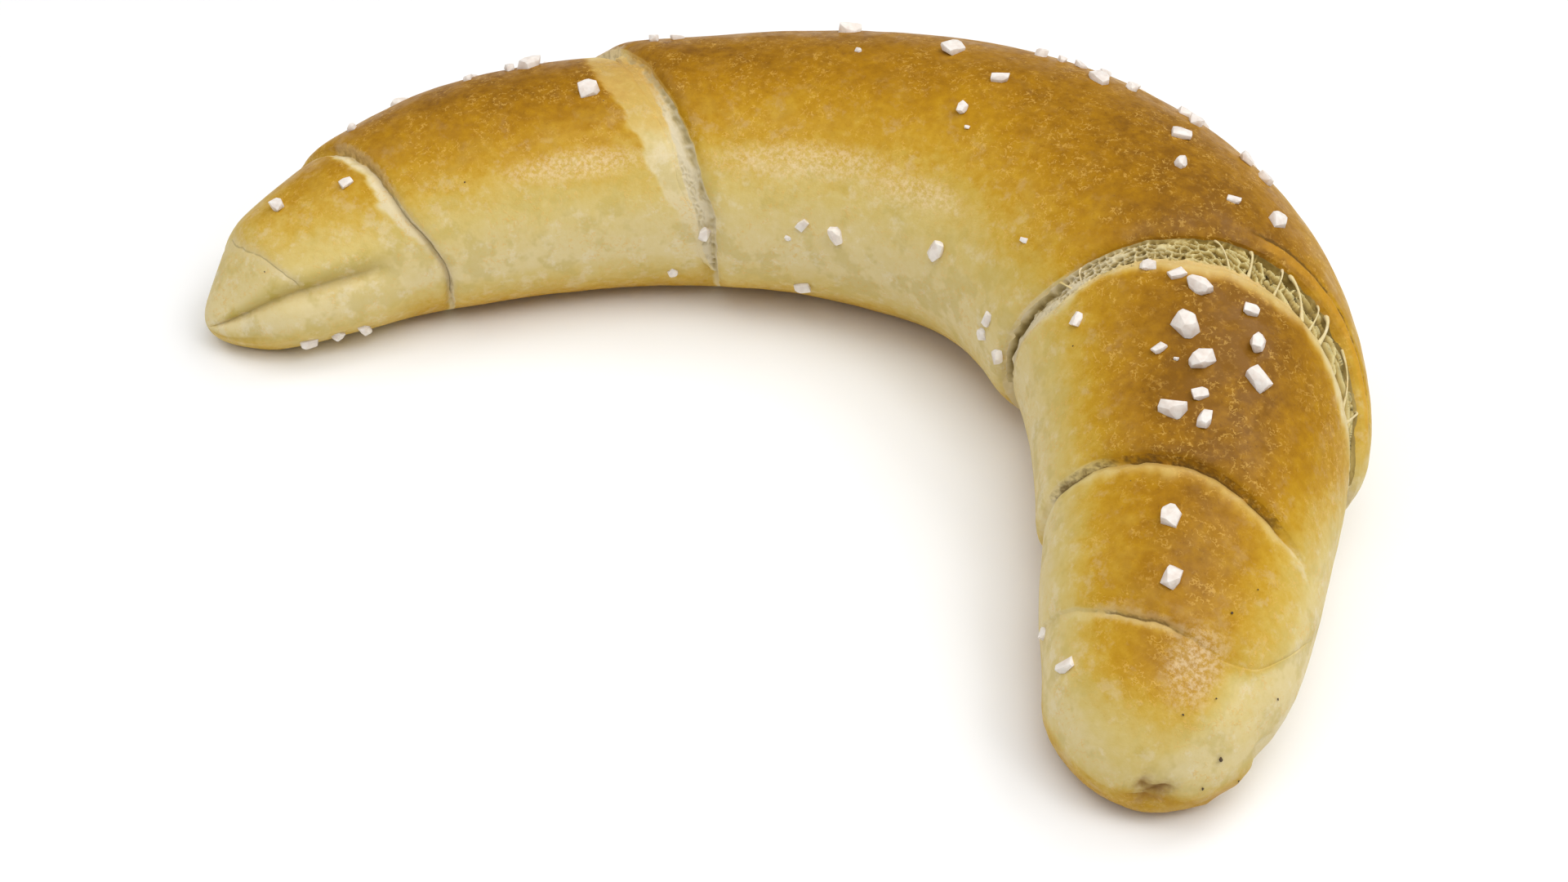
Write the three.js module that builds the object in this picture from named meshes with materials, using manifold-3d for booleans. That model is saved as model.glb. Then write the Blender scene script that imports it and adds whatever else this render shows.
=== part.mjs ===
// A salted crescent roll: a triangle of milk dough rolled up, bent into a crescent and baked.
// It lies on its flat base, +Z up, with the open side of the bend towards -Y.
// Millimetres and degrees. Places on the crust are a station, measured along the roll's middle
// line from its midpoint (minus on the left arm, plus on the right arm), and an angle round the
// section: 0 is the outer side of the bend, 90 the crown and 180 the inner side.
import * as THREE from "three";
import { mergeVertices } from "three/addons/utils/BufferGeometryUtils.js";
import Module from "manifold-3d";

const wasm = await Module();
wasm.setup();

// ---- The middle line: arcs from the left tip to the right tip ----
// Each arc's length, and the angle it turns towards the open side.
const BENDS = [
  { length: 27, turn: 4 },
  { length: 31, turn: 17 },
  { length: 46, turn: 19 },
  { length: 26, turn: 17 },
  { length: 71.5, turn: 74.5 },
  { length: 56.5, turn: 15.5 },
];
const LENGTH = BENDS.reduce((sum, bend) => sum + bend.length, 0);
const LEFT_TIP = -LENGTH / 2;
const RIGHT_TIP = LENGTH / 2;
const LEFT_HEADING = 66; // the way the middle line leaves the left tip, turned from +X

// ---- The section: a dome on a flat base ----
const HALF_WIDTHS = [
  [-129, 6.8],
  [-117, 12.6],
  [-100, 17.1],
  [-78, 20.6],
  [-42, 22.4],
  [0, 25.6],
  [37, 27.2],
  [64, 25.4],
  [85, 21.8],
  [104, 18.9],
  [119, 14.8],
  [129, 11.8],
];
const HEIGHT_SHARES = [
  [-129, 0.755],
  [0, 0.773],
  [129, 0.733],
]; // the height as a share of the full width
const WAIST = 0.42; // the widest level, as a share of the height
const UNDERCUT = 1.25; // how much deeper the round would reach if the base didn't cut it flat
const NOSE_LENGTH = 9; // the rounded end of each arm
const FOOT_ANGLE = THREE.MathUtils.radToDeg(Math.asin(1 / UNDERCUT));

// ---- The wraps: each seam's station at five angles from the outer to the inner side ----
// drop is the step down towards the tip, gape the torn band beside the lip, crack its depth.
const SEAM_ANGLES = [0, 45, 90, 135, 180];
const SEAMS = [
  { stations: [-121.5, -120.5, -119.5, -116.4, -113], drop: 0.6, gape: 1.2, crack: 0.3, ends: [-8, 140] },
  { stations: [-107, -102.5, -97.7, -94.8, -90.4], drop: 1.3, gape: 1.8, crack: 0.8 },
  { stations: [-63, -56, -49, -42.3, -38.9], drop: 2.6, gape: 3.8, crack: 1.1 },
  { stations: [76, 61, 52.3, 49, 47.5], drop: 2.5, gape: 5.2, crack: 1.3 },
  { stations: [103, 95.5, 89.5, 88, 89.5], drop: 1.4, gape: 1.8, crack: 0.8, ends: [56, 188] },
  { stations: [100, 113, 112.4, 110.8, 109], drop: 0.6, gape: 1.4, crack: 0.2, ends: [22, 165] },
];
const SEAM_FADE = 15; // how far along the roll a step's bulge reaches
const SEAM_ENDS = [-8, 196]; // the angles past which a seam without its own ends closes
const SEAM_CLOSING = 24; // the angle it takes to close

// ---- The tips ----
const TUCK = { from: -127, to: -101, angles: [143, 159], depth: 1.1, crease: 8, bulge: 1.2, fold: 20 };
const HEEL = { station: 112, angle: 14, bulge: 1.3, along: 8, round: 26 };
const DIMPLE = { station: 126, angle: 40, depth: 1.4, reach: 3.2 };

// ---- Salt: coarse grains, alone or in short streaks from one station and angle to another ----
const STREAKS = [
  { from: [-112.5, 80], to: [-102, 98.5], grains: 2 },
  { from: [-96.5, 55] },
  { from: [-78.5, 57] },
  { from: [-72, 57], to: [-69, 57], grains: 2 },
  { from: [-60, 93] },
  { from: [-49.5, 59], to: [-46, 59], grains: 2 },
  { from: [-19.5, 57] },
  { from: [-3, 74.5] },
  { from: [3.5, 106.5], to: [6.5, 88.5], grains: 2 },
  { from: [7.5, 56], to: [16, 54.5], grains: 4 },
  { from: [18, 65], to: [21.5, 59], grains: 2 },
  { from: [20, 52] },
  { from: [27.5, 51], to: [30.5, 54], grains: 2 },
  { from: [33.8, 69.5], to: [39, 82], grains: 2 },
  { from: [37.5, 48], to: [41.5, 47], grains: 2 },
  { from: [47, 72.5], to: [50, 59.5], grains: 2 },
  { from: [55, 107.5], to: [61, 93], grains: 3 },
  { from: [65, 77], to: [75.5, 74], grains: 3 },
  { from: [68, 99.5], to: [74, 94.5], grains: 2 },
  { from: [71.5, 108], to: [81.2, 103], grains: 2 },
  { from: [79, 94.5], to: [83, 92], grains: 2 },
  { from: [59.5, 135.5] },
  { from: [98, 99.5], to: [107, 95], grains: 2 },
  { from: [118, 146], to: [110.5, 173], grains: 2 },
  { from: [-116.5, 203], to: [-107, 202], grains: 3 },
  { from: [-48, 196], to: [-41.2, 170.5], grains: 2 },
  { from: [-22, 160], to: [-14.5, 162.5], grains: 2 },
  { from: [-22, 197.5] },
  { from: [11.5, 159] },
  { from: [39, 166.5], to: [38, 175.5], grains: 2 },
  { from: [47, 177] },
  { from: [-6, 32], to: [34, 26], grains: 6 },
  { from: [8, 16], to: [26, 42], grains: 3 },
  { from: [-88, 36], to: [-66, 28], grains: 3 },
];
const GRAIN_LENGTHS = [2.1, 4.9];
const GRAIN_BREADTH = 0.7; // of the length
const GRAIN_THICKNESS = 0.56; // of the length
const GRAIN_SINK = 0.36; // the share of the thickness that is baked into the crust
const SCATTER = 0.4; // how far a grain may lie from its place in the streak
const SEED = 1307780;

// ---- The mesh ----
const COLUMNS_OVER = 34; // from foot to foot over the crown
const COLUMNS_UNDER = 4;
const COLUMNS = COLUMNS_OVER + COLUMNS_UNDER;
const RING_STEP = 5.6;
const RINGS_BEFORE_LIP = [4, 2, 0.7, 0.05]; // distances from a lip's edge back over its wrap
const RING_PAST_LIP = 0.3;
const RING_PAST_GAPE = 2.5;
const NOSE_RINGS = [0, 0.05, 0.16, 0.36, 0.65]; // shares of the way from a tip to the first seam's rings

const rad = THREE.MathUtils.degToRad;
const clamp = THREE.MathUtils.clamp;

// A smooth curve through a few [where, value] pairs, level past its ends.
function curveThrough(pairs) {
  const slopes = pairs.map((pair, i) => {
    if (i === 0 || i === pairs.length - 1) return 0;
    const [x0, y0] = pairs[i - 1];
    const [x1, y1] = pairs[i + 1];
    return (y1 - y0) / (x1 - x0);
  });
  return (where) => {
    const x = clamp(where, pairs[0][0], pairs.at(-1)[0]);
    const i = Math.max(pairs.findIndex((pair) => x <= pair[0]), 1) - 1;
    const [x0, y0] = pairs[i];
    const [x1, y1] = pairs[i + 1];
    const span = x1 - x0;
    const t = (x - x0) / span;
    const rise = t * t * (3 - 2 * t);
    const leave = t * (1 - t) * (1 - t) * span * slopes[i];
    const arrive = -t * t * (1 - t) * span * slopes[i + 1];
    return y0 + (y1 - y0) * rise + leave + arrive;
  };
}

const halfWidthAt = curveThrough(HALF_WIDTHS);
const heightShareAt = curveThrough(HEIGHT_SHARES);

// The middle line's point and heading at a station, by walking the arcs.
function middleLine(station) {
  let heading = rad(LEFT_HEADING);
  let left = station - LEFT_TIP;
  const point = new THREE.Vector2();
  for (const bend of BENDS) {
    const walked = clamp(left, 0, bend.length);
    const turned = (rad(bend.turn) * walked) / bend.length;
    const chord = walked * (turned ? Math.sin(turned / 2) / (turned / 2) : 1);
    const along = heading - turned / 2;
    point.add(new THREE.Vector2(chord * Math.cos(along), chord * Math.sin(along)));
    heading -= turned;
    left -= walked;
  }
  return { point, heading };
}

// 1 between the two ends of a stretch, fading to 0 over fade past each.
function within(x, from, to, fade) {
  return (
    THREE.MathUtils.smoothstep(x, from - fade, from) *
    (1 - THREE.MathUtils.smoothstep(x, to, to + fade))
  );
}

// A seam's station at an angle. Under the base it runs straight back to where it began.
const seamCurves = SEAMS.map(({ stations }) =>
  curveThrough([...SEAM_ANGLES.map((angle, i) => [angle, stations[i]]), [360, stations[0]]]),
);

// How far a wrap stands proud of the plain roll beside one seam, d past the lip towards the tip.
function stepRelief(seam, d) {
  if (d < 0) {
    const rounding = 0.35 * seam.drop * Math.exp((d * 3) / seam.gape);
    return (seam.drop / 2) * Math.exp(d / SEAM_FADE) - rounding;
  }
  const closed = THREE.MathUtils.smoothstep(d, 0, seam.gape);
  const step = -(seam.drop / 2) * Math.exp(-d / SEAM_FADE);
  return step - seam.crack * (1 - closed);
}

// The inner side of the left tip is tucked under: a long crease with a fold of dough below it.
function tuckRelief(station, angle) {
  const walked = (station - TUCK.from) / (TUCK.to - TUCK.from);
  const below = angle - THREE.MathUtils.lerp(TUCK.angles[0], TUCK.angles[1], clamp(walked, 0, 1));
  const crease = -TUCK.depth * Math.exp(-((below / TUCK.crease) ** 2));
  const fold = TUCK.bulge * Math.exp(-((below / TUCK.fold - 1.4) ** 2));
  return (crease + fold) * within(station, TUCK.from, TUCK.to - 4, 8);
}

function dimpleRelief(station, angle) {
  const along = (station - DIMPLE.station) / DIMPLE.reach;
  const round = (rad(angle - DIMPLE.angle) * halfWidthAt(station)) / DIMPLE.reach;
  return -DIMPLE.depth * Math.exp(-along * along - round * round);
}

// The innermost roll of dough swells out past the last wrap, low on the right tip's outer side.
function heelRelief(station, angle) {
  const along = (station - HEEL.station) / HEEL.along;
  const round = (angle - HEEL.angle) / HEEL.round;
  return HEEL.bulge * Math.exp(-along * along - round * round);
}

function relief(station, angle) {
  const round = angle > 270 ? angle - 360 : angle;
  const wraps = SEAMS.reduce((sum, seam, i) => {
    const [first, last] = seam.ends ?? SEAM_ENDS;
    const open = within(round, first, last, SEAM_CLOSING);
    const lip = seamCurves[i](clamp(round, 0, 180));
    return sum + open * stepRelief(seam, (station - lip) * Math.sign(lip));
  }, 0);
  const tips = tuckRelief(station, round) + heelRelief(station, round) + dimpleRelief(station, round);
  return wraps + tips;
}

// The point of the crust at a station and an angle, raised along the section's normal.
function crust(station, angle, raised = 0) {
  const { point, heading } = middleLine(station);
  const fromTip = Math.min(station - LEFT_TIP, RIGHT_TIP - station);
  const full = Math.sqrt(1 - (1 - clamp(fromTip / NOSE_LENGTH, 0, 1)) ** 2);
  const halfWidth = halfWidthAt(station);
  const height = 2 * halfWidth * heightShareAt(station);
  const waist = WAIST * height;
  const a = rad(angle);
  const over = Math.sin(a) > 0 ? height - waist : UNDERCUT * waist;
  const lift = relief(station, angle) * full + raised;
  const side = (halfWidth * full + lift) * Math.cos(a);
  const z = waist + (over * full + lift) * Math.sin(a);
  return new THREE.Vector3(
    point.x - side * Math.sin(heading),
    point.y + side * Math.cos(heading),
    Math.max(z, 0),
  );
}

// The rings beside a seam, as distances from it along the roll, in the order of their stations.
function ringsBeside(seam) {
  const before = RINGS_BEFORE_LIP.map((d) => -d);
  const after = [RING_PAST_LIP, seam.gape / 2, seam.gape, seam.gape + RING_PAST_GAPE];
  const toTip = [...before, ...after];
  return seam.stations[0] < 0 ? toTip.map((d) => -d).reverse() : toTip;
}

// The shares of the way between two seams' rings where more rings lie.
function sharesBetween(from, to) {
  const steps = Math.max(1, Math.round((to(90) - from(90)) / RING_STEP));
  return Array.from({ length: steps - 1 }, (_, i) => (i + 1) / steps);
}

// Every ring's place is a function of the angle, so that the rings bend with the seams.
function ringPlaces() {
  const places = [];
  let from = () => LEFT_TIP;
  SEAMS.forEach((seam, i) => {
    const start = from;
    const beside = ringsBeside(seam).map((d) => (angle) => seamCurves[i](angle) + d);
    const shares = i === 0 ? NOSE_RINGS : sharesBetween(start, beside[0]);
    shares.forEach((share) =>
      places.push((angle) => THREE.MathUtils.lerp(start(angle), beside[0](angle), share)),
    );
    places.push(...beside);
    from = beside.at(-1);
  });
  [...NOSE_RINGS].reverse().forEach((share) =>
    places.push((angle) => THREE.MathUtils.lerp(RIGHT_TIP, from(angle), share)),
  );
  return places.reverse(); // the sphere's first row is the right tip, which turns its faces out
}

// The angles of the columns: even over the crown, few across the flat base.
function columnAngle(column) {
  const over = 180 + 2 * FOOT_ANGLE;
  if (column <= COLUMNS_OVER) return -FOOT_ANGLE + (over * column) / COLUMNS_OVER;
  const under = (column - COLUMNS_OVER) / COLUMNS_UNDER;
  return 180 + FOOT_ANGLE + (180 - 2 * FOOT_ANGLE) * under;
}

function solidOf(geometry) {
  geometry.deleteAttribute("normal");
  geometry.deleteAttribute("uv");
  const merged = mergeVertices(geometry, 1e-4);
  return new wasm.Manifold(
    new wasm.Mesh({
      numProp: 3,
      vertProperties: new Float32Array(merged.attributes.position.array),
      triVerts: new Uint32Array(merged.index.array),
    }),
  );
}

// The dough: a sphere whose rows become the rings and whose columns run along the roll.
function doughSolid() {
  const places = ringPlaces();
  const geometry = new THREE.SphereGeometry(1, COLUMNS, places.length - 1);
  const position = geometry.attributes.position;
  for (let i = 0; i < position.count; i++) {
    const angle = columnAngle((i % (COLUMNS + 1)) % COLUMNS);
    const row = Math.floor(i / (COLUMNS + 1));
    const turned = (angle + 360) % 360;
    const { x, y, z } = crust(places[row](turned), angle);
    position.setXYZ(i, x, y, z);
  }
  return solidOf(geometry);
}

// The same draws on every run.
function seededDraws(seed) {
  let state = seed;
  return () => {
    state = (state * 16807) % 2147483647;
    return state / 2147483647;
  };
}

// One chunky grain, turned any way and pressed a little into the crust.
function grainSolid(station, angle, draw) {
  const [least, most] = GRAIN_LENGTHS;
  const length = least + (most - least) * draw() ** 2;
  const thickness = length * GRAIN_THICKNESS;
  const geometry = new THREE.IcosahedronGeometry(0.5, 0);
  geometry.scale(length, length * GRAIN_BREADTH, thickness);
  geometry.rotateZ(rad(360 * draw()));
  const foot = crust(station, angle);
  const raised = crust(station, angle, 1);
  const normal = raised.clone().sub(foot).normalize();
  const upright = new THREE.Quaternion().setFromUnitVectors(new THREE.Vector3(0, 0, 1), normal);
  geometry.applyQuaternion(upright);
  const seat = foot.addScaledVector(normal, thickness * (0.5 - GRAIN_SINK));
  geometry.translate(seat.x, seat.y, seat.z);
  return solidOf(geometry);
}

// The grains of a streak lie evenly along it, each moved a little by a draw.
function saltSolids() {
  const draw = seededDraws(SEED);
  return STREAKS.flatMap(({ from, to = from, grains = 1 }) =>
    Array.from({ length: grains }, (_, i) => {
      const along = i / Math.max(grains - 1, 1);
      const station = THREE.MathUtils.lerp(from[0], to[0], along) + SCATTER * (2 * draw() - 1);
      const aside = THREE.MathUtils.radToDeg((SCATTER * (2 * draw() - 1)) / halfWidthAt(station));
      const angle = THREE.MathUtils.lerp(from[1], to[1], along) + aside;
      return grainSolid(station, angle, draw);
    }),
  );
}

function rollMesh() {
  const baked = saltSolids().reduce((solid, grain) => solid.add(grain), doughSolid());
  const { vertProperties, triVerts } = baked.getMesh();
  const geometry = new THREE.BufferGeometry();
  geometry.setAttribute("position", new THREE.BufferAttribute(vertProperties, 3));
  geometry.setIndex(new THREE.BufferAttribute(triVerts, 1));
  geometry.computeBoundingBox();
  const { min, max } = geometry.boundingBox;
  const crustFinish = new THREE.MeshStandardMaterial({ color: 0xc4923c, roughness: 0.45, metalness: 0 });
  const mesh = new THREE.Mesh(geometry, crustFinish);
  mesh.name = "crescent_roll";
  mesh.position.set(-(min.x + max.x) / 2, -(min.y + max.y) / 2, -min.z);
  return mesh;
}

const roll = new THREE.Group();
roll.add(rollMesh());

export default roll;
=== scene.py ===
# %% [markdown]
# # A salted crescent roll
#
# A triangle of milk dough is rolled up from its wide side, so that its layers end in steps that wind
# round the roll. The roll is bent into a crescent, brushed with egg, sprinkled with coarse salt and
# baked lying flat. Where the steps open in the oven they tear, and pale crumb shows that the egg never
# reached.
#
# The solid model of the roll is the frame here. It gives the size and the place, and the pieces
# below take its place with a finer surface: the crust, the torn crumb in the two widest seams, the
# salt and a few burnt specks.

# %% Load the frame
import itertools
import math

import bpy
import numpy as np
from mathutils import Matrix, Vector


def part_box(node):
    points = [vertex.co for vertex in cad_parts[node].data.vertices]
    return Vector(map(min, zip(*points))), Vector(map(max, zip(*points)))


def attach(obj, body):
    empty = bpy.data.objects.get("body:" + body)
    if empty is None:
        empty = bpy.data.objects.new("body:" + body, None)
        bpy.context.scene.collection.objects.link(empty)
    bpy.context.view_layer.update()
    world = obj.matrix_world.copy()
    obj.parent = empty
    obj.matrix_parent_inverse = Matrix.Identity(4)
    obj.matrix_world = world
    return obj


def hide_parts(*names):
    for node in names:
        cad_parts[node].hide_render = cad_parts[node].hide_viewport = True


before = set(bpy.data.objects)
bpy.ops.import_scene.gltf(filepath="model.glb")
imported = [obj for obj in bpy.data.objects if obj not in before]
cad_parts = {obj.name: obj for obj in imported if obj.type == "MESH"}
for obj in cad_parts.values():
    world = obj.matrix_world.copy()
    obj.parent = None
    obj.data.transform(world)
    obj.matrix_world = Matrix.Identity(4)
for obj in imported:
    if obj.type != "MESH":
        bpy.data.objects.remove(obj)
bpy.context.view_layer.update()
NODE = "crescent_roll"
MM = 0.001  # the sizes below are millimetres, and Blender's are metres
node_low, node_high = (np.array(corner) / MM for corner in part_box(NODE))
print("the solid measures", (node_high - node_low).round(1), "mm")

# %% [markdown]
# ## Smooth curves from a few values
#
# Bread has no straight edge and no exact circle: its width, its height and the way each seam winds
# round it all change slowly. Such a shape could be drawn as long lists of points, but a few values
# at places that a baker would measure, with a smooth curve through them, say the same and are easy
# to change. Everything here works on whole arrays, because the crust has about a hundred thousand
# points.


# %% Curves and masks
def curve_through(pairs):
    """A smooth curve through a few (where, value) pairs, level past its ends."""
    places, values = np.array(pairs, float).T
    slopes = np.zeros(len(places))
    slopes[1:-1] = (values[2:] - values[:-2]) / (places[2:] - places[:-2])

    def value_at(where):
        x = np.clip(where, places[0], places[-1])
        i = np.clip(np.searchsorted(places, x), 1, len(places) - 1) - 1
        span = places[i + 1] - places[i]
        t = (x - places[i]) / span
        rise = t * t * (3 - 2 * t)
        leave = t * (1 - t) ** 2 * span * slopes[i]
        arrive = -t * t * (1 - t) * span * slopes[i + 1]
        return values[i] + (values[i + 1] - values[i]) * rise + leave + arrive

    return value_at


def smoothstep(x, start, end):
    """0 before start, 1 past end, and an even S between them."""
    t = np.clip((x - start) / (end - start), 0, 1)
    return t * t * (3 - 2 * t)


def within(x, start, end, fade):
    """1 between the two ends of a stretch, fading to 0 over fade past each."""
    return smoothstep(x, start - fade, start) * (1 - smoothstep(x, end, end + fade))


def bell(x):
    """1 at 0, falling softly to both sides."""
    return np.exp(-(x**2))


# %% [markdown]
# ## Unevenness that comes out the same every time
#
# Lumps, ragged lips and crumb all need something like chance. Python's own random numbers change
# with the order in which they are drawn, so a small edit would bake a different roll. Here each
# cell of a grid gets a number of its own, worked out from the cell and a seed. Blending the numbers
# at a cell's corners gives soft lumps, and the distance to the nearest two of a set of scattered
# points gives the walls of bubbles in crumb.


# %% Noise
WORD = np.uint64(0xFFFFFFFF)
MIXERS = np.array([73856093, 19349663, 83492791], np.uint64)


def scrambled(cells, seed):
    """One number from -1 to 1 for each whole-numbered cell."""
    mixed = cells.astype(np.int64).astype(np.uint64) * MIXERS[: cells.shape[-1]]
    mixed = np.bitwise_xor.reduce(mixed & WORD, axis=-1) + np.uint64(seed * 7919)
    for shift, factor in ((15, 2246822519), (13, 3266489917)):
        mixed = ((mixed ^ (mixed >> np.uint64(shift))) * np.uint64(factor)) & WORD
    return (mixed ^ (mixed >> np.uint64(16))) / float(WORD) * 2 - 1


def lumps(points, size, seed):
    """Soft noise from -1 to 1 whose lumps are about size across."""
    scaled = np.asarray(points) / size
    cell = np.floor(scaled)
    part = scaled - cell
    ease = part * part * (3 - 2 * part)
    total = np.zeros(scaled.shape[:-1])
    for corner in itertools.product((0, 1), repeat=scaled.shape[-1]):
        weight = np.prod(np.where(corner, ease, 1 - ease), axis=-1)
        total += weight * scrambled(cell + corner, seed)
    return total


def bubble_walls(points, seed):
    """0 on the walls between bubbles and about 1 in their middles. Bubbles are one unit across."""
    cell = np.floor(points)
    nearest = np.full(points.shape[:-1], 9.0)
    second = nearest.copy()
    for step in itertools.product((-1, 0, 1), repeat=2):
        here = cell + step
        jitter = np.stack([scrambled(here, seed), scrambled(here, seed + 1)], -1)
        away = np.linalg.norm(here + 0.5 + 0.4 * jitter - points, axis=-1)
        second = np.minimum(second, np.maximum(away, nearest))
        nearest = np.minimum(nearest, away)
    return second - nearest


# %% [markdown]
# ## The roll's form
#
# Places on the roll are told by two numbers: the station, which is the distance along the roll's
# middle line from its midpoint, minus on the left arm and plus on the right, and the angle round
# the section, where 0 is the outer side of the bend, 90 the crown and 180 the inner side. The
# middle line is a chain of arcs, and the section is a dome on a flat base. These are the solid's
# own measurements, because what is made here has to lie where the solid lies.

# %% The middle line and the section
BENDS = [(27, 4), (31, 17), (46, 19), (26, 17), (71.5, 74.5), (56.5, 15.5)]  # length, turn in degrees
LEFT_HEADING = 66
LENGTH = sum(length for length, turn in BENDS)
TIP = LENGTH / 2
WAIST = 0.42  # the widest level, as a share of the height
UNDERCUT = 1.25  # how much deeper the round would reach if the base didn't cut it flat
NOSE_LENGTH = 9
FOOT_ANGLE = math.degrees(math.asin(1 / UNDERCUT))

half_width_at = curve_through(
    [(-129, 6.8), (-117, 12.6), (-100, 17.1), (-78, 20.6), (-42, 22.4), (0, 25.6)]
    + [(37, 27.2), (64, 25.4), (85, 21.8), (104, 18.9), (119, 14.8), (129, 11.8)]
)
height_share_at = curve_through([(-129, 0.755), (0, 0.773), (129, 0.733)])


def middle_line(station):
    """The middle line's x, y and heading at a station, by walking the arcs."""
    heading = math.radians(LEFT_HEADING)
    left = station + TIP
    x = y = 0
    for length, turn in BENDS:
        walked = np.clip(left, 0, length)
        turned = math.radians(turn) * walked / length
        chord = walked * np.sinc(turned / (2 * math.pi))
        x = x + chord * np.cos(heading - turned / 2)
        y = y + chord * np.sin(heading - turned / 2)
        heading = heading - turned
        left = left - walked
    return x, y, heading


print("the middle line is", LENGTH, "mm long")

# %% [markdown]
# ## The seams
#
# Each wrap of dough ends in a lip, and the roll steps down beyond it towards the tip. A lip is told
# by its station at five angles. drop is the step's height, gape the width of the channel that tore
# open beside it and depth that channel's depth. Two seams don't run all the way round, so they have
# ends of their own. A real lip is never a clean curve, so each gets a ragged edge, which is measured
# along the lip and is the same in the crust and in the crumb below it.

# %% The seams' measurements
SEAM_ANGLES = (0, 45, 90, 135, 180)
SEAMS = {
    "left_nose": dict(
        stations=(-121.5, -120.5, -119.5, -116.4, -113), drop=0.6, gape=1.2, depth=0.3, ends=(-8, 140)
    ),
    "left_tip": dict(stations=(-107, -102.5, -97.7, -94.8, -90.4), drop=1.3, gape=1.8, depth=0.8),
    "left_bend": dict(stations=(-63, -56, -49, -42.3, -38.9), drop=2.6, gape=3.8, depth=1.1),
    "right_bend": dict(stations=(76, 61, 52.3, 49, 47.5), drop=2.5, gape=5.2, depth=1.3),
    "right_tip": dict(
        stations=(103, 95.5, 89.5, 88, 89.5), drop=1.4, gape=1.8, depth=0.8, ends=(56, 188)
    ),
    "right_nose": dict(
        stations=(100, 113, 112.4, 110.8, 109), drop=0.6, gape=1.4, depth=0.2, ends=(22, 165)
    ),
}
SEAM_FADE = 15  # how far along the roll a step's bulge reaches
SEAM_ENDS = (-8, 196)
SEAM_CLOSING = 24
RAGGED = ((4.5, 0.32), (1.5, 0.16))  # the lips' waves: how long and how far out of line

for number, seam in enumerate(SEAMS.values()):
    marks = list(zip(SEAM_ANGLES, seam["stations"])) + [(360, seam["stations"][0])]
    seam["lip_at"] = curve_through(marks)
    seam["side"] = math.copysign(1, seam["stations"][0])
    seam["seed"] = 100 + 10 * number


# %% Distances from a seam
def folded(angle):
    """The same angle from -90 to 270, so that the base lies at both ends."""
    return np.where(angle > 270, angle - 360, angle)


def lip_station(seam, angle, ragged=1.0):
    """The station of a seam's lip, with its ragged edge."""
    lip = seam["lip_at"](np.clip(angle, 0, 180))
    around = np.radians(angle) * half_width_at(lip)
    for i, (size, reach) in enumerate(RAGGED):
        lip = lip + ragged * reach * lumps(around[..., None], size, seam["seed"] + i)
    return lip


def past_lip(seam, station, angle, ragged=1.0):
    """How far a place lies past a seam's lip, towards the tip."""
    return (station - lip_station(seam, folded(angle), ragged)) * seam["side"]


def openness(seam, angle):
    """1 where a seam is open and 0 where it has closed, low on the sides."""
    first, last = seam.get("ends", SEAM_ENDS)
    return within(folded(angle), first, last, SEAM_CLOSING)


# %% [markdown]
# ## Relief
#
# The steps, the tucked end of the left tip, the swollen end of dough low on the right tip and the
# dimple in its nose are small next to the roll, so they are heights above the plain section. That
# keeps the plain form readable and lets each feature be tried on its own.

# %% Relief in the solid and in the crust
TUCK = dict(start=-127, end=-101, angles=(143, 159), depth=1.1, crease=8, bulge=1.2, fold=20)
HEEL = dict(station=112, angle=14, bulge=1.3, along=8, round=26)
DIMPLE = dict(station=126, angle=40, depth=1.4, reach=3.2)


def step_relief(seam, d):
    """The step beside a lip, d past it: the wrap's rounded edge, then the torn channel."""
    over = seam["drop"] / 2 * np.exp(np.minimum(d, 0) / SEAM_FADE)
    over = over - 0.35 * seam["drop"] * np.exp(np.minimum(d, 0) * 3 / seam["gape"])
    beyond = -seam["drop"] / 2 * np.exp(-np.maximum(d, 0) / SEAM_FADE)
    beyond = beyond - seam["depth"] * (1 - smoothstep(d, 0, seam["gape"]))
    return np.where(d < 0, over, beyond)


def below_crease(station, angle):
    """How far a place lies below the tuck's crease, in degrees round the roll."""
    walked = np.clip((station - TUCK["start"]) / (TUCK["end"] - TUCK["start"]), 0, 1)
    first, last = TUCK["angles"]
    return angle - (first + (last - first) * walked)


def tuck_relief(station, angle):
    """The crease and the fold under it where the left tip is tucked under."""
    below = below_crease(station, angle)
    crease = -TUCK["depth"] * bell(below / TUCK["crease"])
    fold = TUCK["bulge"] * bell(below / TUCK["fold"] - 1.4)
    return (crease + fold) * within(station, TUCK["start"], TUCK["end"] - 4, 8)


def oval(station, angle, at):
    """1 at a place, fading along the roll in millimetres and round it in degrees."""
    along = (station - at["station"]) / at["along"]
    around = (angle - at["angle"]) / at["round"]
    return np.exp(-(along**2) - around**2)


def dimple_relief(station, angle):
    """The dimple in the right nose, equally wide both ways."""
    along = (station - DIMPLE["station"]) / DIMPLE["reach"]
    around = np.radians(angle - DIMPLE["angle"]) * half_width_at(station) / DIMPLE["reach"]
    return -DIMPLE["depth"] * np.exp(-(along**2) - around**2)


def relief(station, angle, ragged=0.0):
    """The height above the plain section. Without ragged lips it is the solid's own relief."""
    around = folded(angle)
    total = tuck_relief(station, around) + HEEL["bulge"] * oval(station, around, HEEL)
    total = total + dimple_relief(station, around)
    for seam in SEAMS.values():
        d = past_lip(seam, station, angle, ragged)
        total = total + openness(seam, angle) * step_relief(seam, d)
    return total


# %% [markdown]
# ## From station and angle to a point
#
# One function turns a station, an angle and a height into a point, and everything on the roll is
# placed with it: the crust, the crumb, the grains and the specks. The solid was centred over its
# origin, so the same shift is found here by measuring the plain form once.


# %% Points of the crust
def nose_share(station):
    """How full the section is: 0 at the very tips and 1 behind the rounded noses."""
    nose = 1 - np.clip((TIP - np.abs(station)) / NOSE_LENGTH, 0, 1)
    return np.sqrt(1 - nose**2)


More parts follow.
